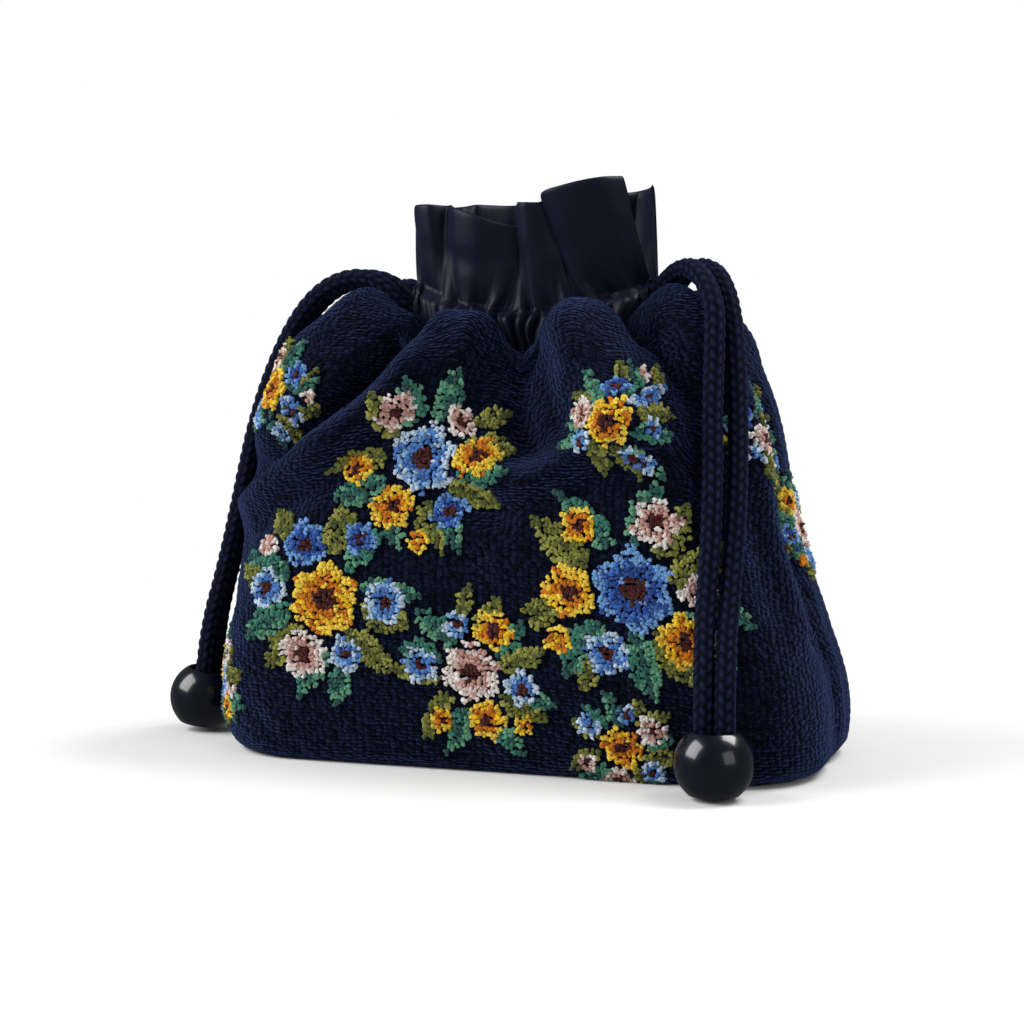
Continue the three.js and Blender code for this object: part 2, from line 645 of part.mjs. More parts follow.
function leafShape(length, width) {
  const outline = [[0, 0], [0.3, 0.42], [0.62, 0.5], [1, 0], [0.6, -0.4], [0.28, -0.34]];
  return new THREE.Shape(outline.map(([a, b]) => new THREE.Vector2(a * length, b * width)));
}

// Sprays of flowers on the front or back: place in shares of the body's width from its middle and of
// the shoulder height, turn in degrees and size. Each has a large bloom, a bud and two leaves round
// it, in the named colours.
const SPRAYS = [
  { name: "front_left", across: -0.272, up: 0.356, turn: 20, size: 1.05, colours: ["yellow", "blue", "olive"] },
  { name: "front_low", across: -0.03, up: 0.219, turn: 196, size: 0.85, colours: ["pale", "yellow", "teal"] },
  { name: "front_right", across: 0.225, up: 0.405, turn: 95, size: 1.15, colours: ["blue", "yellow", "olive"] },
  { name: "front_upper", across: -0.112, up: 0.664, turn: 150, size: 1, colours: ["sky", "yellow", "teal"] },
  { name: "front_high", across: 0.189, up: 0.745, turn: 310, size: 0.7, colours: ["yellow", "sky", "olive"] },
  { name: "back_left", across: -0.213, up: 0.486, turn: 60, size: 1.1, colours: ["yellow", "pale", "olive"] },
  { name: "back_right", across: 0.225, up: 0.308, turn: 240, size: 1, colours: ["blue", "yellow", "teal"] },
  { name: "back_upper", across: 0.107, up: 0.645, turn: 20, size: 0.85, colours: ["sky", "yellow", "olive"] },
];
const BUD_ANGLE = 90;
const LEAF_ANGLES = [205, 325];

function sprayMeshes(spray, layer) {
  const bloom = BLOOM_RADIUS * spray.size;
  const bud = BUD_RADIUS * spray.size;
  const leaf = leafShape(LEAF_LENGTH * spray.size, LEAF_WIDTH * spray.size);
  const [bloomColour, budColour, leafColour] = spray.colours.map((name) => PILE_COLOURS[name]);
  const leafStart = bloom + GAP;
  const pieces = [
    ["bloom", bloomShape(bloom, 6), 0, 0, bloomColour],
    ["bud", bloomShape(bud, 5), bloom + bud + GAP, BUD_ANGLE, budColour],
    ["leaf_a", leaf, leafStart, LEAF_ANGLES[0], leafColour],
    ["leaf_b", leaf, leafStart, LEAF_ANGLES[1], leafColour],
  ];
  return pieces.map(([label, shape, offset, angle, colour]) => {
    const direction = ((angle + spray.turn) * Math.PI) / 180;
    const prism = new THREE.ExtrudeGeometry(shape, { depth: BODY_DEPTH, bevelEnabled: false });
    prism.rotateZ(direction);
    prism.translate(offset * Math.cos(direction), offset * Math.sin(direction), 0);
    prism.rotateX(Math.PI / 2);
    prism.translate(spray.across * BODY_WIDTH, onFront(spray) ? 0 : BODY_DEPTH, spray.up * SHOULDER_HEIGHT);
    const cut = layer.intersect(solidOf(outward(closedGeometry(prism))));
    const mesh = new THREE.Mesh(geometryOfSolid(cut), clothMaterial(colour, 0.95));
    mesh.name = `spray_${spray.name}_${label}`;
    return mesh;
  });
}

function onFront(spray) {
  return spray.name.startsWith("front");
}

const BODY_COLUMNS = 30;
const LINING_COLUMNS = 15;
const BAND_STEPS = 40;

function buildPouch() {
  const pouch = new THREE.Group();
  const add = (name, geometry, material) => {
    const mesh = new THREE.Mesh(geometry, material);
    mesh.name = name;
    pouch.add(mesh);
  };
  add("outer_front", outerPanel(BODY_COLUMNS, FRONT_FOLDS, false), clothMaterial(NAVY_PILE, 0.95));
  add("outer_back", outerPanel(BODY_COLUMNS, BACK_FOLDS, true), clothMaterial(NAVY_PILE, 0.95));
  add("lining", liningGeometry(LINING_COLUMNS), clothMaterial(NAVY_SATIN, 0.6));
  add("casing_frill_front", satinBand(true, FRONT_FRILL, BAND_STEPS), clothMaterial(NAVY_SATIN, 0.42));
  add("casing_frill_back", satinBand(false, BACK_FRILL, BAND_STEPS), clothMaterial(NAVY_SATIN, 0.42));
  add("drawstring_left_loop", heldLoopGeometry(-1, LOW_CORD, 0.6), clothMaterial(NAVY_CORD, 0.85));
  add("drawstring_right_loop", heldLoopGeometry(1, HIGH_CORD, 0.5), clothMaterial(NAVY_CORD, 0.85));
  add("drawstring_right_front_tail", tailGeometry(RIGHT_FRONT_TAIL), clothMaterial(NAVY_CORD, 0.85));
  add("drawstring_right_back_tail", tailGeometry(RIGHT_BACK_TAIL), clothMaterial(NAVY_CORD, 0.85));
  add("drawstring_left_front_tail", tailGeometry(LEFT_FRONT_TAIL), clothMaterial(NAVY_CORD, 0.85));
  add("drawstring_left_back_tail", tailGeometry(LEFT_BACK_TAIL), clothMaterial(NAVY_CORD, 0.85));
  pouch.add(cordEnd("right", RIGHT_BEAD), cordEnd("left", LEFT_BEAD));
  const frontLayer = pileLayer(BODY_COLUMNS, FRONT_FOLDS, false);
  const backLayer = pileLayer(BODY_COLUMNS, BACK_FOLDS, true);
  for (const spray of SPRAYS) {
    pouch.add(...sprayMeshes(spray, onFront(spray) ? frontLayer : backLayer));
  }
  return pouch;
}

export default buildPouch();
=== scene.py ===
"""A gathered drawstring pouch in navy chenille with tufted flowers, a satin casing and frill, braided
drawstrings and round beads. Metres, +Z up, the front faces -Y."""

import math

import bpy
import numpy as np
from bpy.props import FloatProperty, FloatVectorProperty, IntProperty, PointerProperty
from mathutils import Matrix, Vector


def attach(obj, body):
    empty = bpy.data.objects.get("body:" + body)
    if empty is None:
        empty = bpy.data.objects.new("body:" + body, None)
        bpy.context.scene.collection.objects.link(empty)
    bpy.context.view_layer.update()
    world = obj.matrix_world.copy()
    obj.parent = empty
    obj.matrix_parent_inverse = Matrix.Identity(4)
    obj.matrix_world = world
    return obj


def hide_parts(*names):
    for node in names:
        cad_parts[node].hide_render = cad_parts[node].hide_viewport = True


bl_info = {
    "name": "Drawstring Pouch",
    "version": (1, 0, 0),
    "blender": (4, 5, 0),
    "location": "View3D > Sidebar > Pouch",
    "description": "Dresses the frame of a gathered drawstring pouch",
    "category": "Add Mesh",
}

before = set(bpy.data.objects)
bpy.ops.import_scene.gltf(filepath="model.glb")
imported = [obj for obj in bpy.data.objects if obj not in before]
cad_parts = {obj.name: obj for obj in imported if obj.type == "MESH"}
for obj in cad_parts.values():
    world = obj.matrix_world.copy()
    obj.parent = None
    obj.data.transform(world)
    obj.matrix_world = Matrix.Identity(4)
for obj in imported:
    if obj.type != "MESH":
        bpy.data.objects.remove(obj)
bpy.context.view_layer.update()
BODY = "pouch"
MM = 0.001


def linear(red, green, blue):
    """A colour written as it looks, from 0 to 255, in the linear values that shaders take."""
    def channel(value):
        share = value / 255
        return share / 12.92 if share <= 0.04045 else ((share + 0.055) / 1.055) ** 2.4

    return (channel(red), channel(green), channel(blue))


# Body of the pouch, in millimetres
BODY_WIDTH = 169
BODY_DEPTH = 80
SHOULDER_HEIGHT = 123.5
SEAM_HEIGHT_SIDE = 119
SEAM_HEIGHT_FRONT = 108.5
NECK_WIDTH = 77
NECK_DEPTH = 34
SIDE_SEAM_PINCH = 3.2
SIDE_SEAM_WIDTH = 8
BODY_LEAN = -3.5
SEAM_GROOVE = 3
SEAM_GROOVE_WIDTH = 1.7
SEAM_ROLL = 1.1
SEAM_ROLL_WIDTH = 2.2
SEAM_ROLL_PLACE = 5
SEAM_PUCKER = 9
GAP = 0.3
# Slack of the cloth: depth, size and seed of its noise
SLACK = ((0.7, 21, 5), (0.35, 9, 8))

# Rows of the body: heights at the side and at the front, half width and half depth, all as shares
SEAM_SIDE = SEAM_HEIGHT_SIDE / SHOULDER_HEIGHT
SEAM_FRONT = SEAM_HEIGHT_FRONT / SHOULDER_HEIGHT
ROWS = (
    (0, 0, 0.92, 0.88),
    (0.012, 0.012, 0.965, 0.95),
    (0.05, 0.05, 0.995, 0.985),
    (0.16, 0.16, 1, 1),
    (0.29, 0.29, 0.965, 1),
    (0.405, 0.405, 0.925, 0.99),
    (0.52, 0.52, 0.88, 0.97),
    (0.63, 0.63, 0.845, 0.93),
    (0.725, 0.715, 0.81, 0.875),
    (0.81, 0.785, 0.77, 0.805),
    (0.885, 0.85, 0.72, 0.72),
    (0.945, 0.905, 0.665, 0.63),
    (0.985, 0.945, 0.615, 0.555),
    (1, 0.958, 0.556, 0.49),
    ((1 + SEAM_SIDE) / 2 + 0.006, 0.93, 0.5, 0.436),
    (SEAM_SIDE, SEAM_FRONT, NECK_WIDTH / BODY_WIDTH, NECK_DEPTH / BODY_DEPTH),
)
SHOULDER_ROW = 13
NECK_ROW = len(ROWS) - 1
# Rows between which the crown of gathers sets in
CROWN_ROWS = (9.5, 12.5)
# Rows of the mesh from the middle of the base to its edge, and cells of a noise's lattice each way
BASE_ROWS = 13
NOISE_CELLS = 64

# Folds of the cloth and, after them, smaller creases that only the cloth's surface has: depth and width
# in millimetres, and a line of points in per cent of the body's width and of the shoulder's height
FOLDS = {
    "front": (
        (-5.5, 5.5, ((30, 97), (22, 77), (13, 63), (8.5, 59.5))),
        (-5.5, 6.5, ((51.5, 100), (52, 95))),
        (-4.5, 9, ((52.5, 87), (53, 81), (55, 70))),
        (-4, 5, ((76, 98), (80, 86), (85, 74))),
        (4, 10, ((38.5, 96), (34, 82), (27, 68))),
        (6.5, 10, ((64.5, 97), (68, 84), (70, 74))),
        (3, 7, ((72, 72), (65, 64), (56, 58))),
        (5, 10, ((14, 100), (13, 90))),
        (6, 8, ((85, 100), (86, 93))),
        (7, 15, ((9, 80), (5, 62))),
        (-3, 8, ((96, 98), (95, 90))),
        (-3, 5, ((51.5, 95), (52, 88), (53, 78), (55, 70))),
        (-4.6, 3.4, ((30, 95), (25, 84), (17, 69), (10, 62))),
        (3.3, 6, ((36, 87), (30, 75), (22, 64.5), (13, 57.5), (7, 54))),
        (-2.8, 4, ((34, 72), (27, 61), (17, 52))),
        (0.6, 8, ((38.5, 97), (38, 88), (36, 80))),
        (2.4, 5.5, ((34, 96), (32.5, 89))),
        (2.6, 5.5, ((43.5, 96), (43, 89))),
        (-2, 4, ((45.7, 88), (46, 82), (47.5, 75))),
        (-1.8, 3.5, ((57.3, 90), (57.5, 84), (60, 76))),
        (0.4, 7, ((64, 97), (66, 88), (68, 80))),
        (2.8, 5.5, ((60, 96), (61.2, 89))),
        (2.4, 5.5, ((69.5, 96), (71, 89))),
        (3.9, 5.5, ((70, 77), (64, 68), (56, 62.5), (47, 63.5))),
        (-3.2, 4.4, ((68, 66), (61, 59), (53, 56), (45, 58.5))),
        (-2.4, 4, ((76, 96), (78.5, 86), (80, 76), (80, 62))),
        (-1.4, 3, ((73.5, 93), (75, 85), (76, 74))),
        (-1.6, 4.5, ((85, 78), (87, 60), (87.5, 36))),
        (1.7, 5, ((89.5, 82), (91, 60), (91.5, 32))),
        (-1.4, 4, ((94.5, 80), (95, 55), (95, 30))),
        (-1.6, 5, ((13, 46), (11, 30), (12, 15))),
        (1.2, 8, ((20, 40), (19, 20))),
        (-1.1, 3.5, ((20, 9), (24, 3))),
        (-1.1, 3.5, ((46, 8), (48, 2))),
        (-1.1, 3.5, ((72, 9), (70, 2))),
    ),
    "back": (
        (-5, 6, ((33, 97), (27, 80), (20, 66))),
        (-5, 7, ((60, 98), (62, 82), (65, 68))),
        (4.5, 11, ((46, 96), (46, 78), (42, 66))),
        (4, 10, ((76, 96), (80, 80))),
        (4.5, 10, ((14, 100), (13, 90))),
        (4, 9, ((86, 100), (87, 92))),
        (-3, 8, ((96, 98), (95, 90))),
        (5, 15, ((7, 80), (5, 62))),
        (2.6, 24, ((42, 36), (60, 40))),
        (-2.4, 4, ((33, 95), (27, 80), (19, 65))),
        (2, 6, ((36, 84), (30, 70), (22, 60))),
        (-2, 4, ((42, 95), (40, 83), (34, 70))),
        (-2.2, 4, ((54, 95), (54.5, 80), (57, 66))),
        (2.4, 6, ((69, 74), (62, 66), (50, 62))),
        (-2, 5, ((67, 65), (59, 58), (48, 56))),
        (-1.6, 3.5, ((71, 94), (74, 80))),
        (-1.4, 4.5, ((87, 66), (89, 40))),
        (-1.4, 4.5, ((10, 52), (11, 30))),
        (1.2, 9, ((30, 35), (33, 15))),
    ),
}

# How the gathers shape the cloth's crown over the neck: share across, width and how much lower or
# higher it stands over the seam, as a share of its height there
CROWN = (
    (0.515, 0.052, -0.5), (0.3, 0.024, -0.5), (0.765, 0.022, -0.45), (0.392, 0.06, -0.1),
    (0.65, 0.07, -0.1), (0.12, 0.06, 0.1), (0.87, 0.05, 0.12),
)

# Sprays: side, name, place as shares of width and shoulder height, turn in degrees, size, and colours
# of bloom, bud and leaf
SPRAYS = (
    ("front", "left", -0.272, 0.356, 20, 1.05, "yellow", "blue", "olive"),
    ("front", "low", -0.03, 0.219, 196, 0.85, "pale", "yellow", "teal"),
    ("front", "right", 0.225, 0.405, 95, 1.15, "blue", "yellow", "olive"),
    ("front", "upper", -0.112, 0.664, 150, 1, "sky", "yellow", "teal"),
    ("front", "high", 0.189, 0.745, 310, 0.7, "yellow", "sky", "olive"),
    ("back", "left", -0.213, 0.486, 60, 1.1, "yellow", "pale", "olive"),
    ("back", "right", 0.225, 0.308, 240, 1, "blue", "yellow", "teal"),
    ("back", "upper", 0.107, 0.645, 20, 0.85, "sky", "yellow", "olive"),
)
# Small sprays near the seams and the hem, which only the cloth's surface has
SMALL_SPRAYS = (
    ("front", "shoulder_left", -0.4, 0.8, 250, 0.62, "yellow", "sky", "olive"),
    ("front", "seam_right", 0.455, 0.72, 40, 0.55, "pale", "blue", "teal"),
    ("front", "seam_left", -0.475, 0.16, 80, 0.55, "sky", "yellow", "olive"),
    ("front", "hem", 0.21, 0.075, 170, 0.6, "yellow", "pale", "teal"),
    ("back", "seam_left", -0.43, 0.2, 130, 0.6, "sky", "yellow", "teal"),
    ("back", "hem", 0.02, 0.13, 20, 0.6, "yellow", "blue", "olive"),
    ("back", "shoulder_right", 0.42, 0.5, 200, 0.6, "pale", "sky", "olive"),
)
# Parts of a spray. Leaves: role, angle in degrees and distance from the middle, bend in degrees,
# length and width. Blossoms: role, angle, distance, radius and petals. Later parts lie on earlier ones.
LEAVES = (
    ("leaf", 205, 9.9, 0, 14, 8.5),
    ("leaf", 325, 9.9, 0, 14, 8.5),
    ("other", 128, 11, 12, 15.5, 8),
    ("leaf", 64, 11, -18, 17, 8),
    ("other", 172, 9, 16, 17, 7.5),
    ("other", 238, 10, -14, 16.5, 8),
    ("leaf", 282, 9, 18, 17, 7.5),
    ("other", 355, 10, -20, 16.5, 7.5),
    ("other", 25, 10, 16, 18, 7),
    ("leaf", 150, 12, -10, 16, 6),
    ("leaf", 98, 18, 20, 12, 6),
    ("other", 262, 16, -24, 12, 5.5),
)
BLOSSOMS = (
    ("bud", 90, 15.1, 6.2, 5),
    ("warm", 222, 15.5, 6.6, 5),
    ("accent", 338, 16.5, 5.8, 5),
    ("cool", 150, 16.5, 5.5, 4),
    ("bud", 38, 18.5, 4.4, 4),
    ("accent", 268, 14.6, 4.4, 4),
    ("warm", 120, 22, 3.2, 4),
    ("bloom", 0, 0, 9.6, 6),
)
# Kinds of parts, each with the ends of its solids' names
KINDS = {"leaf": ("_a", "_b"), "bud": ("",), "bloom": ("",)}
# How far a spray reaches, how low an end of yarn may hang over the floor and how low the flowers begin
# over the edge of the base, in millimetres
SPRAY_REACH = 34
TUFT_LOWEST = 0.1
FLOWERS_LOWEST = 1.5
# A tuft's radius as a share of its pitch. Its ends of yarn: how many, their sides, least and most of
# their width and height as shares of the tuft's, how far they lean, how uneven they are and how far they
# stand from the tuft's middle
TUFT_RADIUS = 0.6
YARN_ENDS = 3
END_SIDES = 5
END_WIDTHS = (0.6, 0.82)
END_HEIGHTS = (0.5, 1.15)
END_LEAN = 0.3
END_UNEVEN = (0.15, 0.12)
END_OFFSET = 0.52
# Every pile colour with its darker and lighter yarn
PILE = {
    "yellow": (linear(236, 186, 30), linear(205, 120, 16), linear(244, 206, 70)),
    "blue": (linear(58, 106, 186), linear(40, 74, 150), linear(112, 160, 214)),
    "pale": (linear(226, 204, 196), linear(196, 150, 140), linear(236, 226, 220)),
    "sky": (linear(128, 172, 218), linear(74, 122, 192), linear(186, 206, 226)),
    "olive": (linear(118, 122, 50), linear(84, 92, 44), linear(146, 148, 70)),
    "teal": (linear(56, 122, 104), linear(40, 88, 84), linear(92, 150, 120)),
    "maroon": (linear(72, 22, 24), linear(54, 16, 22), linear(110, 44, 34)),
}
YARNS = list(PILE)
# Share of tufts that are darker than their place in the flower asks, and of those that are lighter
STRAY_SHADE = 0.1

# Casing and frill, in millimetres
CORD_SQUEEZED = 4.4
SATIN_THICKNESS = 0.6
CASING_END_INSET = 5.5
CASING_SETBACK = 1.75
CASING_SWELL = 0.4
GATHER_RISE = 2
FRILL_THICKNESS = 1.4
FRILL_HEIGHT = 27.7
CASING_HALF = CORD_SQUEEZED / 2 + GAP + SATIN_THICKNESS
CASING_END_Y = CASING_HALF + CASING_SWELL + GAP / 2
CASING_ROOF = SATIN_THICKNESS + 2 * CORD_SQUEEZED + 3 * GAP
CASING_LENGTH = NECK_WIDTH - 2 * CASING_END_INSET
CASING_BULGE = NECK_DEPTH / 2 - CASING_SETBACK - CASING_HALF - CASING_SWELL - CASING_END_Y
GATHER_HEIGHT = CASING_ROOF + GATHER_RISE
LOW_CORD = SATIN_THICKNESS + GAP + CORD_SQUEEZED / 2
HIGH_CORD = LOW_CORD + CORD_SQUEEZED + GAP
# Rows of the strip's mesh in the casing and in the frill
CASING_STEPS = 22
FRILL_STEPS = 44
# Held loops in the casing: side, which way the tail leaves, height over the seam and drop at the turn
HELD_LOOPS = (("left", -1, LOW_CORD, 0.6), ("right", 1, HIGH_CORD, 0.5))
# Crest of the frill: places as shares of half the casing's length, and rise over the plain height
FRONT_FRILL = (
    (-1.02, -0.04, 0), (-0.98, -0.2, 0.3), (-0.84, -0.29, 0.3), (-0.72, -0.2, 0), (-0.65, -0.26, 0),
    (-0.56, -0.41, -1), (-0.38, -0.48, -3), (-0.2, -0.43, -5), (-0.03, -0.36, -6), (0.05, -0.29, -5),
    (0.02, -0.31, -2), (-0.03, -0.42, 0), (0.05, -0.52, 0), (0.17, -0.49, 0), (0.27, -0.4, 0.5),
    (0.25, -0.36, 1), (0.18, -0.45, 2), (0.25, -0.56, 3), (0.38, -0.6, 4), (0.54, -0.6, 5.2),
    (0.71, -0.54, 6.2), (0.83, -0.38, 6.6),
)
BACK_FRILL = (
    (0.95, 0.11, 5.2), (0.88, 0.27, 4.6), (0.77, 0.35, 4), (0.67, 0.27, 3.4), (0.55, 0.38, 3),
    (0.36, 0.5, 2.5), (0.2, 0.44, 2), (0.09, 0.29, 2), (-0.03, 0.35, 2), (-0.18, 0.5, 1.6),
    (-0.38, 0.52, 1), (-0.53, 0.39, 1), (-0.62, 0.28, 1), (-0.76, 0.35, 0.6), (-0.91, 0.28, 0.2),
    (-1.01, 0.13, 0),
)

# Lining, which hangs slack in the body
LINING_ROWS = (
    (0, 0.83, 0.74),
    (0.03, 0.89, 0.84),
    (0.12, 0.91, 0.88),
    (0.3, 0.83, 0.84),
    (0.48, 0.73, 0.74),
    (0.64, 0.64, 0.58),
    (0.77, 0.58, 0.47),
    (0.87, 0.51, 0.38),
    (0.94, 0.46, 0.36),
    (1, 0.444, 0.4),
)
LINING_LIFT = 2.7

# Routes of the drawstrings' free tails, in millimetres, from the casing to the knot in the bead
TAILS = {
    "right_front": (
        (33.7, -4, 124.3), (37.2, -5.2, 127.2), (41, -8, 130), (45, -12, 131), (49, -16.4, 129.4),
        (52.4, -20.2, 125.4), (54.6, -23.2, 119.4), (55.2, -25.4, 111), (55.4, -27.2, 102),
        (55.8, -29.6, 92.5), (56.6, -32.6, 83), (57.2, -35.6, 73), (57.5, -38.2, 63.5),
        (57.5, -40.6, 54.5), (57.5, -43.2, 46), (58, -46.4, 38), (58.6, -49.1, 31), (58.85, -50.1, 26),
        (58.85, -50.2, 20), (58.85, -50.2, 8.7),
    ),
    "right_back": (
        (33.8, 4.1, 124.4), (37.6, 4.6, 127.2), (42, 2.2, 130.2), (47, -2.2, 131.2), (51.6, -7, 129.2),
        (55.2, -11.8, 124.4), (57.6, -16, 118.4), (59.2, -19.8, 111.5), (60.4, -22.4, 103),
        (61.2, -24.6, 94), (62, -27.6, 84.5), (62.7, -31.2, 75), (62.9, -34.2, 66), (62.9, -37.2, 56.5),
        (63, -40.6, 47.5), (63.3, -44.9, 39), (63.9, -48.5, 32), (64.15, -50, 26), (64.15, -50.2, 20),
        (64.15, -50.2, 8.7),
    ),
    "left_front": (
        (-34, -4, 119.5), (-37.4, -5, 122), (-41.5, -5.4, 126), (-46.6, -5.3, 128.6),
        (-52.6, -5.3, 128.8), (-58.6, -5.5, 126.6), (-64, -5.7, 122.2), (-68.8, -5.9, 115.8),
        (-73.2, -6, 107.6), (-77.2, -6.2, 98), (-80.6, -6.3, 87.6), (-83.4, -6.4, 76.6),
        (-86, -6.4, 65.6), (-88.6, -6.5, 55), (-91.4, -6.5, 44.8), (-94.2, -6.5, 35.4), (-96, -6.5, 27.4),
        (-97.2, -6.5, 19.5), (-98.8, -6.5, 9.5),
    ),
    "left_back": (
        (-34, 4, 119.5), (-37.4, 5, 122), (-41.5, 4.6, 126), (-46.6, 3, 128.6), (-52.6, 1.4, 128.8),
        (-58.6, 0.5, 126.6), (-64, 0, 122.2), (-68.8, -0.3, 115.8), (-73.2, -0.5, 107.6),
        (-77.2, -0.7, 98), (-80.6, -0.8, 87.6), (-83.6, -0.9, 76.6), (-86.4, -1, 65.6), (-89.2, -1.1, 55),
        (-92.2, -1.2, 44.8), (-94.6, -1.2, 35.6), (-96, -1.2, 27.4), (-97.2, -1.2, 19.5),
        (-98.8, -1.2, 9.5),
    ),
}
# Beads: side, middle in millimetres and lean towards +X in degrees
BEADS = (("right", (61.5, -50.2, 9), 0), ("left", (-98.8, -3.85, 9.6), 9))


# Lines, rows and noise

def smooth_line(points, places):
    """A smooth curve through the points at the given places, from 0 to the last point's number."""
    points = np.asarray(points, float)
    places = np.clip(np.asarray(places, float), 0, len(points) - 1)
    start = np.minimum(places.astype(int), len(points) - 2)
    t = (places - start)[..., None]
    ends = np.vstack([2 * points[0] - points[1], points, 2 * points[-1] - points[-2]])
    a, b, c, d = (ends[start + k] for k in range(4))
    return 0.5 * (2 * b + (c - a) * t + (2 * a - 5 * b + 4 * c - d) * t**2 + (3 * b - a - 3 * c + d) * t**3)


def smooth_step(value, low, high):
    """Rises softly from 0 at the low value to 1 at the high one."""
    t = np.clip((value - low) / (high - low), 0, 1)
    return t * t * (3 - 2 * t)


def hump(distance, width):
    """Falls softly from 1 at no distance to nothing beyond about twice the width."""
    return np.exp(-((distance / width) ** 2))


def soft_noise(x, y, size, seed):
    """Smooth noise from -1 to 1 over x and y, with features of the given size."""
    lattice = np.random.default_rng(seed).uniform(-1, 1, (NOISE_CELLS, NOISE_CELLS))
    u, v = np.asarray(x) / size, np.asarray(y) / size
    i, j = np.floor(u).astype(int), np.floor(v).astype(int)
    fu, fv = smooth_step(u - i, 0, 1), smooth_step(v - j, 0, 1)

    def row(step):
        left, right = (lattice[(i + k) % NOISE_CELLS, (j + step) % NOISE_CELLS] for k in (0, 1))
        return left * (1 - fu) + right * fu

    return row(0) * (1 - fv) + row(1) * fv


def unit(vectors):
    length = np.linalg.norm(vectors, axis=-1, keepdims=True)
    return vectors / np.maximum(length, 1e-9)


def grid_frames(points):
    """Unit vectors across, up and out of a grid of points."""
    across = unit(np.gradient(points, axis=1))
    up = unit(np.gradient(points, axis=0))
    return across, up, unit(np.cross(across, up))


def run_lengths(points, axis):
    """How far each point of a grid lies along its row or column."""
    steps = np.linalg.norm(np.diff(points, axis=axis), axis=-1)
    padding = [(0, 0), (0, 0)]
    padding[axis] = (1, 0)
    return np.cumsum(np.pad(steps, padding), axis=axis)


# Mesh pieces

def grid_faces(rows, columns, around=False, flip=False):
    """Quads between the points of a grid, whose last column may meet its first."""
    last = columns if around else columns - 1
    r, c = np.meshgrid(np.arange(rows - 1), np.arange(last), indexing="ij")
    here, after = r * columns + c, r * columns + (c + 1) % columns
    quads = np.stack([here, after, after + columns, here + columns], -1).reshape(-1, 4)
    return quads[:, ::-1] if flip else quads


def add_piece(name, points, faces, materials, slots=None):
    """A mesh from points in millimetres, with its faces, materials and the material of each face."""
    mesh = bpy.data.meshes.new(name)
    mesh.from_pydata((np.asarray(points).reshape(-1, 3) * MM).tolist(), [], [list(f) for f in faces])
    for material in materials:
        mesh.materials.append(material)
    if slots is not None:
        mesh.polygons.foreach_set("material_index", np.asarray(slots, np.int32))
    mesh.polygons.foreach_set("use_smooth", [True] * len(mesh.polygons))
    mesh.update()
    piece = bpy.data.objects.new(name, mesh)
    bpy.context.collection.objects.link(piece)
    return piece


def mark(piece, name, values):
    """Keeps a number, or three, at each point of a piece for its material."""
    values = np.asarray(values, np.float32)
    wide = values.ndim == 2
    attribute = piece.data.attributes.new(name, "FLOAT_VECTOR" if wide else "FLOAT", "POINT")
    attribute.data.foreach_set("vector" if wide else "value", values.ravel())


def dress(piece, body, nodes):
    """Lets a finished piece ride on its body and stand for its CAD nodes."""
    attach(piece, body)
    if nodes:
        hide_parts(*nodes)
    return piece


def facing(points, side):
    """Points made for the front, mirrored where they are for the back."""
    return points * np.array([1, 1 if side == "front" else -1, 1])


# The body's cloth

def half_outline(share, half_width, half_depth, height_share):
    """Half of a rounded rectangle on the -Y side, by its share of arc length from -X to +X."""
    radius = half_depth * (0.64 + 0.34 * np.clip(height_share, 0, 1) ** 1.6)
    straight = half_depth - radius
    arc = np.pi / 2 * radius
    run = np.minimum(share, 1 - share) * 2 * (straight + arc + half_width - radius)
    turn = np.clip((run - straight) / radius, 0, np.pi / 2)
    x = -(half_width - radius) - radius * np.cos(turn) + np.maximum(0, run - straight - arc)
    y = -np.minimum(run, straight) - radius * np.sin(turn)
    return np.where(share > 0.5, -x, x), y


def seam_height(x):
    """Height of the neck seam, which rises towards the sides."""
    side = np.minimum(1, np.abs(x) / (NECK_WIDTH / 2))
    return SEAM_HEIGHT_FRONT + (SEAM_HEIGHT_SIDE - SEAM_HEIGHT_FRONT) * side**2


def fold_depth(share, height_share, folds):
    """How far the folds move the cloth out or in at each place."""
    across = share * BODY_WIDTH
    height = height_share * SHOULDER_HEIGHT
    total = np.zeros(np.broadcast(across, height).shape)
    for depth, width, line in folds:
        line = np.array(line) / 100 * (BODY_WIDTH, SHOULDER_HEIGHT)
        nearest = np.full(total.shape, np.inf)
        for (ax, az), (dx, dz) in zip(line, np.diff(line, axis=0)):
            t = np.clip(((across - ax) * dx + (height - az) * dz) / (dx * dx + dz * dz), 0, 1)
            nearest = np.minimum(nearest, np.hypot(across - ax - t * dx, height - az - t * dz))
        total += depth * hump(nearest, width)
    return total


def even_places(step):
    """Row numbers from the base edge to the neck, about one step apart along the cloth."""
    fine = np.linspace(0, NECK_ROW, 400)
    side, front, wide, deep = np.diff(smooth_line(ROWS, fine), axis=0).T
    over_front = np.hypot(deep * BODY_DEPTH / 2, front * SHOULDER_HEIGHT)
    over_side = np.hypot(wide * BODY_WIDTH / 2, side * SHOULDER_HEIGHT)
    run = np.concatenate([[0], np.cumsum((over_front + over_side) / 2)])
    return np.interp(np.linspace(0, run[-1], int(run[-1] / step)), run, fine)


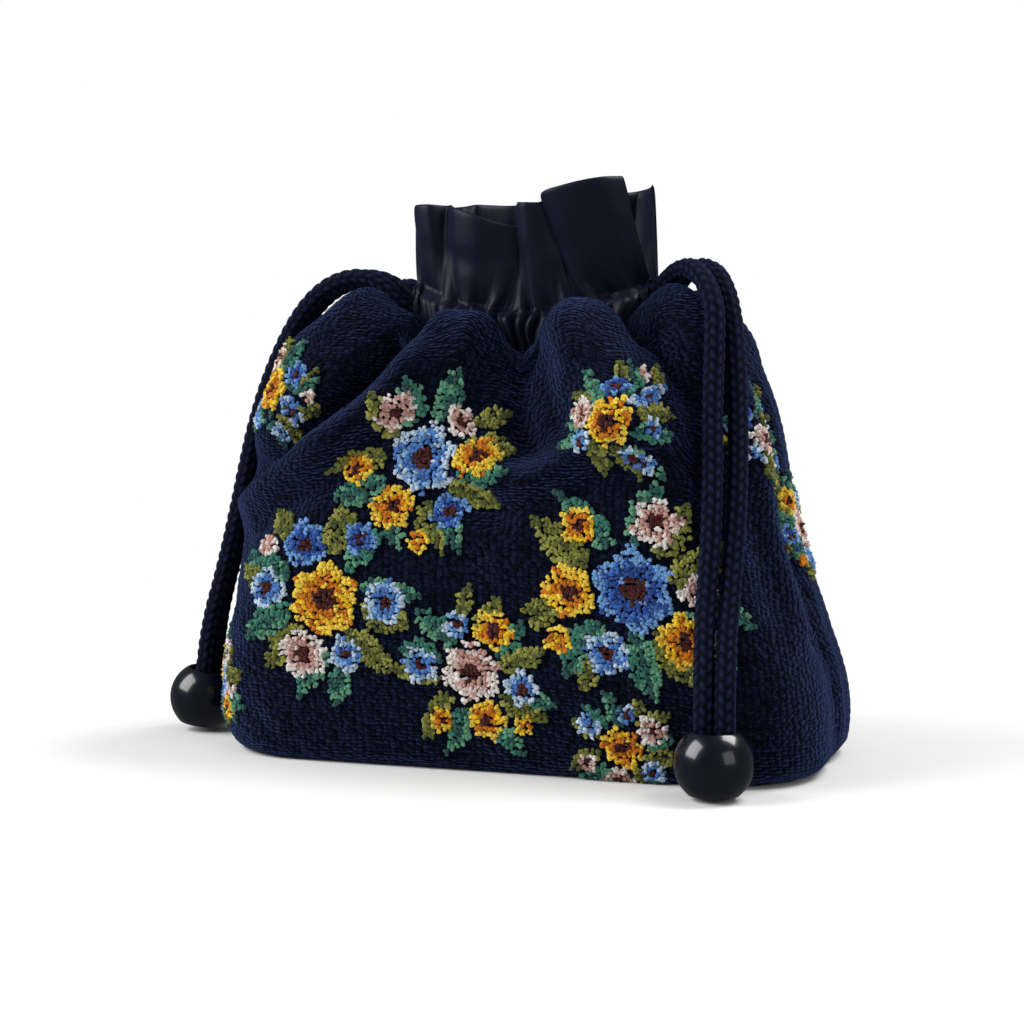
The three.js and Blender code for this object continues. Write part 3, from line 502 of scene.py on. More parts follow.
def plain_wall(place, share):
    """The body's wall before its folds, with its share of the shoulder's height at the side."""
    side, front, wide, deep = smooth_line(ROWS, place[:, 0]).T[..., None]
    half_width = wide * BODY_WIDTH / 2
    x, y = half_outline(share, half_width, deep * BODY_DEPTH / 2, side)
    z = (side + (front - side) * (1 - (x / half_width) ** 2)) * SHOULDER_HEIGHT
    seam = seam_height(x[-1])
    crown = sum(rise * np.exp(-(((share - at) / width) ** 4)) for at, width, rise in CROWN)
    z = z + smooth_step(place, *CROWN_ROWS) * (z > seam) * (z - seam) * crown
    lean = BODY_LEAN * np.sin(np.pi * np.minimum(1, side / SEAM_SIDE)) ** 2
    return np.stack([x + lean, y, z], -1), side


def wall_relief(place, share, side, folds):
    """How far the folds, the side seams and the cloth's slack move the wall out or in."""
    across, height = share * BODY_WIDTH, side * SHOULDER_HEIGHT
    edge = np.minimum(share, 1 - share) * BODY_WIDTH
    puckers = np.sin(height / SEAM_PUCKER * 2 * np.pi + 1.5 * np.sin(side * 19))
    groove = SEAM_GROOVE * (0.6 + 0.4 * puckers) * hump(edge, SEAM_GROOVE_WIDTH)
    roll = SEAM_ROLL * hump(edge - SEAM_ROLL_PLACE, SEAM_ROLL_WIDTH)
    depth = fold_depth(share, side, folds)
    depth -= SIDE_SEAM_PINCH * hump(edge, SIDE_SEAM_WIDTH) * np.minimum(1, place / 5)
    depth += (roll - groove) * np.minimum(1, place / 3)
    depth += sum(deep * soft_noise(across, height, size, seed) for deep, size, seed in SLACK)
    fade = np.minimum(1, (NECK_ROW - place) / (NECK_ROW - SHOULDER_ROW + 1))
    return depth * fade * smooth_step(place, 0.6, 2.4)


def body_surface(folds, sizes):
    """The front half of the body's cloth as a grid: base, wall and the hem inside the neck."""
    place = even_places(sizes.grain / MM)[:, None]
    share = np.linspace(0, 1, sizes.columns)[None, :]
    points, side = plain_wall(place, share)
    upright = smooth_step(place, SHOULDER_ROW - 2.2, SHOULDER_ROW - 0.8)[..., None]
    out = unit(grid_frames(points)[2] * (1 - upright) + np.array([0, 0, 1]) * upright)
    points = points + out * wall_relief(place, share, side, folds)[..., None]
    points[:, 0, 1] = points[:, -1, 1] = 0
    base = np.stack([points[0] * [1, inward, 0] for inward in np.linspace(0, 1, BASE_ROWS + 1)[:-1]])
    hem = [points[-1] * [1 - 0.075 * k, 1 - 0.17 * k, 1] - [0, 0, 1.2 * k] for k in (0.5, 1)]
    return np.concatenate([base, points, np.stack(hem)])


def cloth_places(surface):
    """Millimetres across from the middle and up from the base edge, measured along the cloth."""
    across = run_lengths(surface, 1)
    up = run_lengths(surface, 0)
    return across - across[:, [across.shape[1] // 2]], up - up[[BASE_ROWS]]


def pile_height(across, up, sizes):
    """Height of the navy pile under the cloth's outer face: faint ribs across it, and fuzzy yarn ends."""
    wander = up + 0.4 * soft_noise(across, up, 15, 4)
    ribs = 0.5 - 0.5 * np.cos(2 * np.pi * wander / (sizes.rib_pitch / MM))
    fuzz = np.random.default_rng(17).uniform(0, 1, across.shape)
    fuzz = 0.5 * fuzz + 0.25 * (np.roll(fuzz, 1, axis=1) + np.roll(fuzz, -1, axis=1))
    height = -sizes.pile_rise / MM * (0.35 * ribs + 0.65 * fuzz)
    height[:BASE_ROWS] *= 0.4
    return height


# Flowers of the pile

def bloom_colour(dx, dy, colour, radius, petals, centre):
    """Yarn of a bloom at each place: -1 is none, then the number of the yarn's shade."""
    reach = np.hypot(dx, dy) / radius
    angle = np.arctan2(dy, dx)
    edge = 0.92 + 0.09 * np.cos(petals * angle)
    parting = np.abs(np.sin(petals * angle / 2)) < 0.2
    yarn = np.full(reach.shape, -1)
    yarn[reach < edge] = colour * 3 + 2
    yarn[reach < edge * 0.74] = colour * 3
    yarn[(reach < edge * 0.86) & ~parting & (np.cos(petals * angle) < -0.2)] = colour * 3
    yarn[(reach < 0.55) | ((reach < edge * 0.8) & parting)] = colour * 3 + 1
    yarn[reach < 0.3] = centre * 3
    return yarn


def leaf_colour(dx, dy, colour, length, width):
    """Yarn of a leaf at each place: light on one side, with a deep rib along its middle."""
    t = dx / length
    half = width / 2 * np.sin(np.pi * np.clip(t, 0, 1) ** 0.8) ** 0.8
    inside = (t > 0.02) & (t < 1) & (np.abs(dy) < np.maximum(half, 0.7))
    yarn = np.full(dx.shape, -1)
    yarn[inside] = colour * 3
    yarn[inside & (dy > half * 0.35)] = colour * 3 + 2
    yarn[inside & (np.abs(dy) < 0.7)] = colour * 3 + 1
    return yarn


def spray_parts(turn, size, bloom, bud, leaf):
    """What stands in a spray, from its back to its front: kind, angle, distance, bend, colour and form."""
    roles = {
        "leaf": leaf,
        "other": "teal" if leaf == "olive" else "olive",
        "bloom": bloom,
        "bud": bud,
        "warm": "yellow" if bloom != "yellow" else "pale",
        "cool": "blue" if "sky" in (bloom, bud) else "sky",
        "accent": "pale" if bloom not in ("yellow", "pale") else "sky",
    }
    parts = [("leaf", math.radians(angle + turn), distance * size, math.radians(bend),
              YARNS.index(roles[role]), length * size, width * size)
             for role, angle, distance, bend, length, width in LEAVES]
    for role, angle, distance, radius, petals in BLOSSOMS:
        colour = YARNS.index(roles[role])
        centre = YARNS.index("maroon") if radius > 4 else colour
        parts.append(("bloom" if role == "bloom" else "bud", math.radians(angle + turn),
                      distance * size, 0, colour, radius * size, petals, centre))
    return parts


def spray_yarns(dx, dy, parts):
    """Which yarn each tuft of a spray has, and which kind of part it belongs to."""
    yarns = np.full(dx.shape, -1)
    kinds = np.full(dx.shape, -1)
    for kind, angle, distance, bend, colour, *form in parts:
        ox = dx - distance * math.cos(angle)
        oy = dy - distance * math.sin(angle)
        c, s = math.cos(angle + bend), math.sin(angle + bend)
        yarn_at = leaf_colour if kind == "leaf" else bloom_colour
        found = yarn_at(ox * c + oy * s, oy * c - ox * s, colour, *form)
        yarns = np.where(found >= 0, found, yarns)
        kinds = np.where(found >= 0, list(KINDS).index(kind), kinds)
    return yarns, kinds


def yarn_end(sides):
    """A low end of cut yarn: two rings and a crown, with its faces."""
    points = [(reach * math.cos(angle), reach * math.sin(angle), height)
              for reach, height, shift in ((0.9, -0.4, 0), (1, 0.62, 0.5))
              for angle in (2 * math.pi * (k + shift) / sides for k in range(sides))]
    points.append((0, 0, 1))
    faces = [tuple(f) for f in grid_faces(2, sides, around=True)]
    faces += [(sides + k, sides + (k + 1) % sides, 2 * sides) for k in range(sides)]
    return np.array(points), faces


def tufts(surface, frames, cells, radius, rise, seed):
    """Joins the yarn ends of every tuft into a mesh."""
    rng = np.random.default_rng(seed)
    template, faces = yarn_end(END_SIDES)
    across, up, out = frames
    count = len(cells) * YARN_ENDS
    cells = np.repeat(cells, YARN_ENDS)
    turn = rng.uniform(0, 2 * np.pi / YARN_ENDS, count) + np.arange(count) * 2 * np.pi / YARN_ENDS
    wide = radius * rng.uniform(*END_WIDTHS, (count, 1, 1))
    tall = rise * rng.uniform(*END_HEIGHTS, (count, 1, 1))
    side = across[cells] * np.cos(turn)[:, None] + up[cells] * np.sin(turn)[:, None]
    other = np.cross(out[cells], side)
    lean = rng.normal(0, END_LEAN, (count, 2))
    axis = unit(out[cells] + side * lean[:, :1] + other * lean[:, 1:])
    size = len(template)
    local = template[None] * (1 + rng.normal(0, END_UNEVEN[0], (count, size, 1)))
    local[..., 2] += rng.normal(0, END_UNEVEN[1], (count, size))
    drift = rng.normal((END_OFFSET * radius, 0), END_UNEVEN[1], (count, 1, 2))
    points = (surface[cells][:, None]
              + side[:, None] * (local[..., :1] * wide + drift[..., :1])
              + other[:, None] * (local[..., 1:2] * wide + drift[..., 1:])
              + axis[:, None] * local[..., 2:] * tall)
    points[..., 2] = np.maximum(points[..., 2], TUFT_LOWEST)
    joined = [tuple(v + k * size for v in face) for k in range(count) for face in faces]
    return points, joined, len(faces) * YARN_ENDS


# Materials

def fill(tree, node, inputs):
    """Sets the inputs of a shader node to values, or links them to other nodes' outputs."""
    for name, value in inputs.items():
        if isinstance(value, bpy.types.NodeSocket):
            tree.links.new(value, node.inputs[name])
        else:
            node.inputs[name].default_value = value


def add_node(tree, kind, inputs, **settings):
    """Adds a shader node with its inputs filled, and gives its outputs."""
    node = tree.nodes.new(f"ShaderNode{kind}")
    for name, value in settings.items():
        setattr(node, name, value)
    fill(tree, node, inputs)
    return node.outputs


def new_material(name):
    material = bpy.data.materials.new(name)
    material.use_nodes = True
    tree = material.node_tree
    return material, tree, tree.nodes["Principled BSDF"]


def bump(tree, height, strength, distance, below=None):
    inputs = {"Height": height, "Strength": strength, "Distance": distance}
    if below is not None:
        inputs["Normal"] = below
    return add_node(tree, "Bump", inputs)["Normal"]


def stretched(tree, place, scale):
    return add_node(tree, "Mapping", {"Vector": place, "Scale": scale})["Vector"]


def noise(tree, scale, detail, rough, stretch=(1, 1, 1)):
    """Noise in the piece's own space, finer along an axis with a larger stretch."""
    place = stretched(tree, add_node(tree, "TexCoord", {})["Object"], stretch)
    inputs = {"Vector": place, "Scale": scale, "Detail": detail, "Roughness": rough}
    return add_node(tree, "TexNoise", inputs)["Fac"]


def weighted(tree, *parts, start=0):
    """The sum of outputs, each times its weight."""
    total = start
    for output, weight in parts:
        total = add_node(tree, "Math", {0: output, 1: weight, 2: total}, operation="MULTIPLY_ADD")["Value"]
    return total


def shaded(tree, tone, colour, *stops):
    """The colour at levels of brightness that follow the tone, in stops of tone and level."""
    ramp = tree.nodes.new("ShaderNodeValToRGB")
    tree.links.new(tone, ramp.inputs["Fac"])
    elements = ramp.color_ramp.elements
    elements[0].position, elements[1].position = stops[0][0], stops[-1][0]
    for position, _ in stops[1:-1]:
        elements.new(position)
    for element, (_, level) in zip(elements, stops):
        element.color = (*(min(1, level * c) for c in colour), 1)
    return ramp.outputs["Color"]


def marked(tree, name, output):
    return add_node(tree, "Attribute", {}, attribute_name=name)[output]


def mixed(tree, factor, first, second):
    return add_node(tree, "MixShader", {"Fac": factor, 1: first, 2: second})["Shader"]


def soft_cloth(tree, shader, roughness, specular, sheen, sheen_rough, tint):
    fill(tree, shader, {"Roughness": roughness, "Specular IOR Level": specular, "Sheen Weight": sheen,
                        "Sheen Roughness": sheen_rough, "Sheen Tint": (*tint, 1)})


def chenille_material(colour, sizes):
    """Navy chenille: rows of cut tufts, with fuzzy fibres on them, painted shade in the gaps between them
    and painted light on their tops.
    """
    material, tree, shader = new_material("chenille")
    soft_cloth(tree, shader, 0.95, 0.05, 0.78, 0.27, linear(84, 108, 172))
    stretch = (0.75 * MM / sizes.tuft_pitch, 1.4 * MM / sizes.row_pitch, 1)
    place = stretched(tree, marked(tree, "cloth", "Vector"), stretch)
    ends = add_node(tree, "TexVoronoi", {"Vector": place, "Scale": 1, "Randomness": 0.55})
    dome = weighted(tree, (ends["Distance"], -1.5), start=1)
    yarn = add_node(tree, "SeparateColor", {"Color": ends["Color"]})["Red"]
    fibres = noise(tree, 2300, 3, 0.65)
    # Painted shade and light: the colour darkens where the tufts' domes and the fibres' bump are low and
    # brightens where they are high; the yarn and the coarse noise vary it at random
    tone = weighted(tree, (fibres, 0.5), (dome, 0.42), (yarn, 0.2), (noise(tree, 60, 2, 0.5), 0.14))
    fill(tree, shader, {
        "Base Color": shaded(tree, tone, colour, (0.25, 0.25), (0.55, 1), (0.85, 3)),
        "Normal": bump(tree, fibres, 0.9, 0.0005, bump(tree, dome, 1, 0.0007)),
    })
    return material


def pile_material(name, colour):
    """Yarn of the flowers: fuzzy and matt, with painted shade between the fibres and painted light on them.
    """
    material, tree, shader = new_material(name)
    soft_cloth(tree, shader, 1, 0.05, 0.15, 0.5, linear(255, 250, 240))
    fibres = noise(tree, 2300, 3, 0.7)
    # Painted shade and light: the colour follows the fibres' bump, darker where it is low and lighter where
    # it is high; the coarser noise varies it at random
    tone = weighted(tree, (fibres, 0.5), (noise(tree, 420, 2, 0.5), 0.5))
    coarse = bump(tree, noise(tree, 1300, 2, 0.6), 0.9, 0.0009)
    fill(tree, shader, {
        "Base Color": shaded(tree, tone, colour, (0.32, 0.52), (0.5, 1), (0.68, 1.3)),
        "Normal": bump(tree, fibres, 0.9, 0.0004, coarse),
    })
    return material


def satin_material(name, colour, roughness):
    """Satin: a soft gloss with a very fine weave and slight streaks of thread."""
    material, tree, shader = new_material(name)
    soft_cloth(tree, shader, roughness, 0.16, 0.14, 0.3, linear(110, 122, 190))
    threads = noise(tree, 900, 2, 0.5, (1, 1, 9))
    weave = bump(tree, noise(tree, 5200, 1, 0.5, (1, 1, 0.35)), 0.12, 0.0001)
    fill(tree, shader, {
        "Base Color": shaded(tree, threads, colour, (0.3, 0.7), (0.7, 1.3)),
        "Normal": bump(tree, threads, 0.1, 0.0003, weave),
    })
    return material


def cord_material(colour):
    """Braided yarn: fine threads with a little sheen, painted shade between the stitches and painted
    highlights on their tops.
    """
    material, tree, shader = new_material("cord")
    soft_cloth(tree, shader, 0.85, 0.06, 0.14, 0.35, linear(80, 108, 200))
    threads = noise(tree, 2400, 2, 0.6)
    # Painted shade and highlights: the colour follows the braid's relief, dark in its hollows and up to
    # four times as bright on the stitches' tops
    tone = weighted(tree, (threads, 0.4), (marked(tree, "relief", "Fac"), 0.6))
    fill(tree, shader, {
        "Base Color": shaded(tree, tone, colour, (0.25, 0.2), (0.58, 1), (0.82, 4)),
        "Normal": bump(tree, threads, 0.5, 0.0003),
    })
    return material


def bead_material(colour):
    """Polished bead: a clear coat over a dark body with the faintest cloud in its colour."""
    material, tree, shader = new_material("bead")
    fill(tree, shader, {
        "Roughness": 0.24, "Specular IOR Level": 0.35, "Coat Weight": 0.5, "Coat Roughness": 0.04,
        "Base Color": shaded(tree, noise(tree, 190, 3, 0.6), colour, (0.35, 0.8), (0.7, 1.3)),
        "Normal": bump(tree, noise(tree, 700, 2, 0.5), 0.02, 0.0001),
    })
    return material


def floor_material(colour):
    """Pale by the pouch to take its shadow, white like the backdrop further off, dark to reflections."""
    material, tree, shader = new_material("floor")
    fill(tree, shader, {"Base Color": (*colour, 1), "Roughness": 0.9, "Specular IOR Level": 0.1})
    position = add_node(tree, "NewGeometry", {})["Position"]
    away = add_node(tree, "VectorMath", {0: position}, operation="LENGTH")["Value"]
    fading = {"Value": away, "From Min": 0.12, "From Max": 0.3}
    white = add_node(tree, "Emission", {})["Emission"]
    dim = add_node(tree, "Emission", {"Strength": 0.12})["Emission"]
    far = add_node(tree, "MapRange", fading, interpolation_type="SMOOTHSTEP")["Result"]
    seen = mixed(tree, far, shader.outputs["BSDF"], white)
    glossy = add_node(tree, "LightPath", {})["Is Glossy Ray"]
    fill(tree, tree.nodes["Material Output"], {"Surface": mixed(tree, glossy, seen, dim)})
    return material


# Satin casing and frill

def casing_line(share, side):
    """The casing in plan. It is flat in the middle, and its ends run straight out to the sides."""
    turned = 1 if side == "front" else -1
    t = 2 * share - 1
    bulge = CASING_BULGE * (1 - np.minimum(1, np.abs(t) * 1.07) ** 4) ** 1.3
    return turned * t * CASING_LENGTH / 2, -turned * (CASING_END_Y + bulge)


def gather_waves(share, seed):
    """Pleats pulled up by the cord: uneven folds, from -1 to 1, the small ones between, and puffs."""
    bends = np.random.default_rng(seed).uniform(-1, 1, 6)
    slow = sum(b * np.sin((k + 1) * 2 * np.pi * share + k) / (k + 2) for k, b in enumerate(bends))
    main = np.sin(2 * np.pi * (9 * share + 0.55 * slow))
    small = np.sin(2 * np.pi * (21 * share - 0.8 * slow) + 1.3)
    puffs = 2 * np.abs(np.sin(np.pi * (15 * share + 0.8 * slow))) ** 0.6 - 1
    return np.sign(main) * np.abs(main) ** 0.75, small, puffs


def frill_plan(share, side, crest, lift):
    """Seen from above, the strip spreads from the casing's line to the line of its crest."""
    foot = np.stack(casing_line(share, side), -1)
    return foot + (crest[None, :, :2] * CASING_LENGTH / 2 - foot) * (lift**0.8)[..., None]


def satin_waves(share, stage, seed):
    """How the gathers move the strip out, fading up the frill, and how deep its main pleats are."""
    in_casing, lift = np.clip(stage, 0, 1), np.clip(stage - 1, 0, 1)
    sway = 0.011 * np.sin(2 * np.pi * (in_casing + 3.3 * share)) * (1 - smooth_step(stage, 0.75, 1.1))
    main, small, puffs = gather_waves(share + sway, seed)
    in_frill = smooth_step(stage, 0.75, 1)
    fade = np.where(stage <= 1, 1, 0.75 * np.exp(-lift / 0.13) + 0.25 * (1 - lift) ** 2)
    loose = 0.55 * (1 + soft_noise(share * 66 + 7, 0 * share, 4.5, seed + 2)) * np.sin(np.pi * in_casing)
    puffed = (1.1 + loose) * (puffs + 0.2 * small)
    return (1.2 * main + 0.2 * small) * in_frill + puffed * (1 - in_frill), fade, np.abs(main)


def frill_surface(side, crest_points, seed, columns):
    """The doubled strip of satin as a grid, from its outer foot over the crest to its inner foot."""
    share = np.linspace(0, 1, columns)[None, :]
    outside = np.concatenate([np.linspace(0, 1, CASING_STEPS)[:-1], np.linspace(1, 2, FRILL_STEPS)])
    profile = np.concatenate([outside, 4 - outside[::-1]])[:, None]
    face = np.where(profile <= 2, 1, -1)
    stage = np.where(profile <= 2, profile, 4 - profile)
    in_casing, lift = np.clip(stage, 0, 1), np.clip(stage - 1, 0, 1)
    crest = smooth_line(crest_points, share[0] * (len(crest_points) - 1))
    plan = frill_plan(share, side, crest, lift)
    along = unit(np.gradient(plan, axis=1))
    foot = seam_height(casing_line(share, side)[0]) + GAP
    gather = foot + GATHER_HEIGHT
    top = SEAM_HEIGHT_FRONT + GATHER_HEIGHT + FRILL_HEIGHT + crest[None, :, 2]
    z = np.where(stage <= 1, foot + in_casing * GATHER_HEIGHT, gather + lift * (top - gather))
    pinch = smooth_step(in_casing, 0.72, 0.98)
    casing_out = CASING_HALF * (1 - pinch) + FRILL_THICKNESS / 2 * pinch
    casing_out += CASING_SWELL * np.sin(np.pi * np.clip(in_casing / 0.92, 0, 1)) ** 0.5
    frill_out = FRILL_THICKNESS / 2 * np.sqrt(np.clip(1 - lift**14, 0, 1))
    waves, fade, pleats = satin_waves(share, stage, seed)
    ends = np.sin(np.pi * share) ** 0.4
    waved = np.where((face < 0) & (stage < 0.9), 0, fade)
    out = np.where(stage <= 1, casing_out, frill_out) * face
    out = out + ends * waved * (waves + 0.35 * (face > 0))
    out = out + 0.5 * ends * np.sin(np.pi * lift) * soft_noise(share * 66, lift * 27, 6, seed + 1)
    z = z - 0.35 * ends * pleats * hump(stage - 1, 0.25)
    x = plan[..., 0] + along[..., 1] * out
    y = plan[..., 1] - along[..., 0] * out
    return np.stack([x, y, z], -1)


def end_faces(rows, columns):
    """Closes both ends of the doubled strip, from the top of the casing to the crest."""
    faces = []
    for column, turn in ((0, -1), (columns - 1, 1)):
        for r in range(CASING_STEPS - 2, rows // 2 - 1):
            corners = np.array([r, r + 1, rows - 2 - r, rows - 1 - r]) * columns + column
            faces.append(corners[::turn])
    return faces


# Braided cords

def tube_line(points, step):
    """Evenly spaced points along a smooth line, with frames that don't twist."""
    fine = smooth_line(points, np.linspace(0, len(points) - 1, 40 * len(points)))
    run = np.concatenate([[0], np.cumsum(np.linalg.norm(np.diff(fine, axis=0), axis=1))])
    count = max(2, int(round(run[-1] / step)) + 1)
    places = np.linspace(0, run[-1], count)
    line = np.stack([np.interp(places, run, fine[:, k]) for k in range(3)], -1)
    heading = unit(np.gradient(line, axis=0))
    side = np.zeros_like(line)
    side[0] = unit(np.cross(heading[0], [0, 0, 1]))
    for k in range(1, count):
        side[k] = unit(side[k - 1] - heading[k] * np.dot(side[k - 1], heading[k]))
    return line, side, np.cross(heading, side), places


def braid_relief(angle, along, pitch, plaits):
    """Raised stitches of a round braid, in columns that lean left and right in turn, from 0 to 1."""
    turn = angle / (2 * np.pi) * plaits
    column = np.floor(turn)
    across = 2 * (turn - column) - 1
    hand = np.where(column % 2 == 0, 1, -1)
    stitch = along / pitch + 0.3 * hand * across + 0.25 * hand
    v = 2 * (stitch - np.floor(stitch)) - 1
    return np.sqrt(np.clip(1 - v**2, 0, 1)) * np.sqrt(np.clip(1 - 0.8 * across**2, 0, 1))


def braided_tube(name, points, diameter, sizes, material, step, sides):
    """A tube of braid along the points, in millimetres. Gives the piece and its line in metres."""
    line, side, other, places = tube_line(points, step)
    angle = np.linspace(0, 2 * np.pi, sides, endpoint=False)[None, :]
    relief = braid_relief(angle, places[:, None], sizes.braid_pitch / MM, sizes.plaits)
    radius = diameter / 2 + sizes.braid_depth / MM * (relief - 0.55)
    ring = np.cos(angle)[..., None] * side[:, None] + np.sin(angle)[..., None] * other[:, None]
    tube = line[:, None] + ring * radius[..., None]
    faces = list(grid_faces(len(line), sides, around=True))
    middle = len(line) * sides
    last = middle - sides
    faces += [(middle, (k + 1) % sides, k) for k in range(sides)]
    faces += [(middle + 1, last + k, last + (k + 1) % sides) for k in range(sides)]
    points = np.concatenate([tube.reshape(-1, 3), line[:1], line[-1:]])
    piece = add_piece(name, points, faces, [material])
    # The braid's relief at each point, which the cord's material turns into painted shade and highlights
    mark(piece, "relief", np.concatenate([relief.ravel(), [0.5, 0.5]]))
    return piece, line * MM


def held_loop_points(tail_side, height, turn_drop):
    """The stretch of one drawstring that the casing holds, round both halves of the neck."""
    points = []
    for side in ("front", "back"):
        for x, y in zip(*casing_line(np.linspace(0, 1, 10), side)):
            points.append((x, y, seam_height(x) + GAP + height))
        if side == "front":
            turn_x = CASING_LENGTH / 2 + CASING_END_Y + 1
            turn_z = SEAM_HEIGHT_SIDE + GAP + height - turn_drop
            run = CASING_END_Y * 0.7
            points += [(turn_x - 1, -run, turn_z), (turn_x, 0, turn_z), (turn_x - 1, run, turn_z)]
    return np.array(points) * (-tail_side, -tail_side, 1)


def placed(points, middle, lean):
    """Turns points about +Y by the lean, in degrees, and moves them to the middle."""
    c, s = math.cos(math.radians(lean)), math.sin(math.radians(lean))
    x, y, z = np.moveaxis(points, -1, 0)
    return np.stack([x * c + z * s, y, z * c - x * s], -1) + middle


def bead_profile(radius):
    """Half section from the recess over the rounded flat and the ball to the foot of the bore."""
    flat, bore, recess, roof, rounding = 7.7, 5.45, 6.3, -0.7, 0.8
    low = math.asin(-(flat - rounding * 0.9) / radius)
    high = math.acos((bore + 0.55) / radius)
    ball = [(radius * math.cos(a), radius * math.sin(a)) for a in np.linspace(low, high, 44)]
    edge_x, edge_z = ball[0]
    top = ball[-1][1]
    foot = [(edge_x - rounding * (1 - math.cos(a)) - 0.45 * math.sin(a),
             edge_z - (flat + edge_z) * math.sin(a)) for a in np.linspace(math.pi / 2, 0.2, 7)]
    lip = [(bore + 0.3, top + 0.12), (bore + 0.08, top - 0.1), (bore, top - 0.5)]
    under = [(bore, roof), (recess, roof), (recess, -flat + 0.4), (recess + 0.25, -flat + 0.05)]
    return np.array(under + foot + ball + lip + [(bore, roof)])


# Settings that a user can change: name, description, default, least and most

def metres(name, description, default, low, high):
    return FloatProperty(name=name, description=description, default=default, min=low, max=high,
                         unit="LENGTH", precision=5)


def whole_number(name, description, default, low, high):
    return IntProperty(name=name, description=description, default=default, min=low, max=high)


def paint(name, description, default):
    return FloatVectorProperty(name=name, description=description, default=default,
                               subtype="COLOR", min=0, max=1)


def watts(name, description, default):
    return FloatProperty(name=name, description=description, default=default, min=0, unit="POWER")


class PouchSizes(bpy.types.PropertyGroup):
    """Sizes of the pouch's surfaces"""

    tuft_pitch: metres("Tuft Pitch", "Distance between two tufts of the chenille", 0.00138, 0.001, 0.004)
    row_pitch: metres("Row Pitch", "Distance between two rows of tufts", 0.00142, 0.001, 0.004)
    rib_pitch: metres("Rib Pitch", "Distance between two faint ribs of the chenille", 0.0025, 0.001, 0.006)
    pile_rise: metres("Pile Rise", "How far the navy tufts stand out of the cloth", 0.0004, 0, 0.002)
    flower_rise: metres("Flower Rise", "How far the tufts of the flowers stand out", 0.0011, 0.0002, 0.003)
    grain: metres("Grain", "Distance between two rows of the cloth's mesh", 0.00064, 0.0003, 0.004)
    columns: whole_number("Columns", "Columns of the cloth's mesh", 311, 31, 401)
    frill_columns: whole_number("Frill Columns", "Columns of the frill's mesh", 360, 45, 600)
    cord_diameter: metres("Cord Diameter", "Diameter of a drawstring", 0.005, 0.002, 0.01)
    braid_pitch: metres("Braid Pitch", "Length of one stitch of the braid", 0.0029, 0.001, 0.01)
    braid_depth: metres("Braid Depth", "How far the braid's stitches stand out", 0.00065, 0, 0.001)
    plaits: whole_number("Plaits", "Columns of stitches round the braid", 8, 4, 16)
    bead_diameter: metres("Bead Diameter", "Diameter of a bead", 0.02, 0.01, 0.03)


class PouchColours(bpy.types.PropertyGroup):
    """Colours of the pouch"""

    navy: paint("Navy Pile", "Chenille of the body", linear(6, 8, 21))
    satin: paint("Satin", "Casing and frill", linear(13, 16, 34))
    cord: paint("Cord", "Braided drawstrings", linear(9, 12, 28))
    bead: paint("Bead", "Polished beads", linear(6, 10, 24))
    floor: paint("Floor", "Plain floor under the pouch", (0.82, 0.82, 0.82))


class PouchLight(bpy.types.PropertyGroup):
    """Strength of the lamps"""

    key: watts("Key", "Large soft lamp above the front left", 12.5)
    fill: watts("Fill", "Soft lamp at the right", 1.2)
    back: watts("Back", "Lamp above the back right", 8)
    sky: FloatProperty(
        name="Sky", description="Strength of the world's light", default=0.32, min=0, max=4)


class PouchSettings(bpy.types.PropertyGroup):
    """All settings of the pouch"""

    sizes: PointerProperty(type=PouchSizes)
    colours: PointerProperty(type=PouchColours)
    light: PointerProperty(type=PouchLight)


# Operators

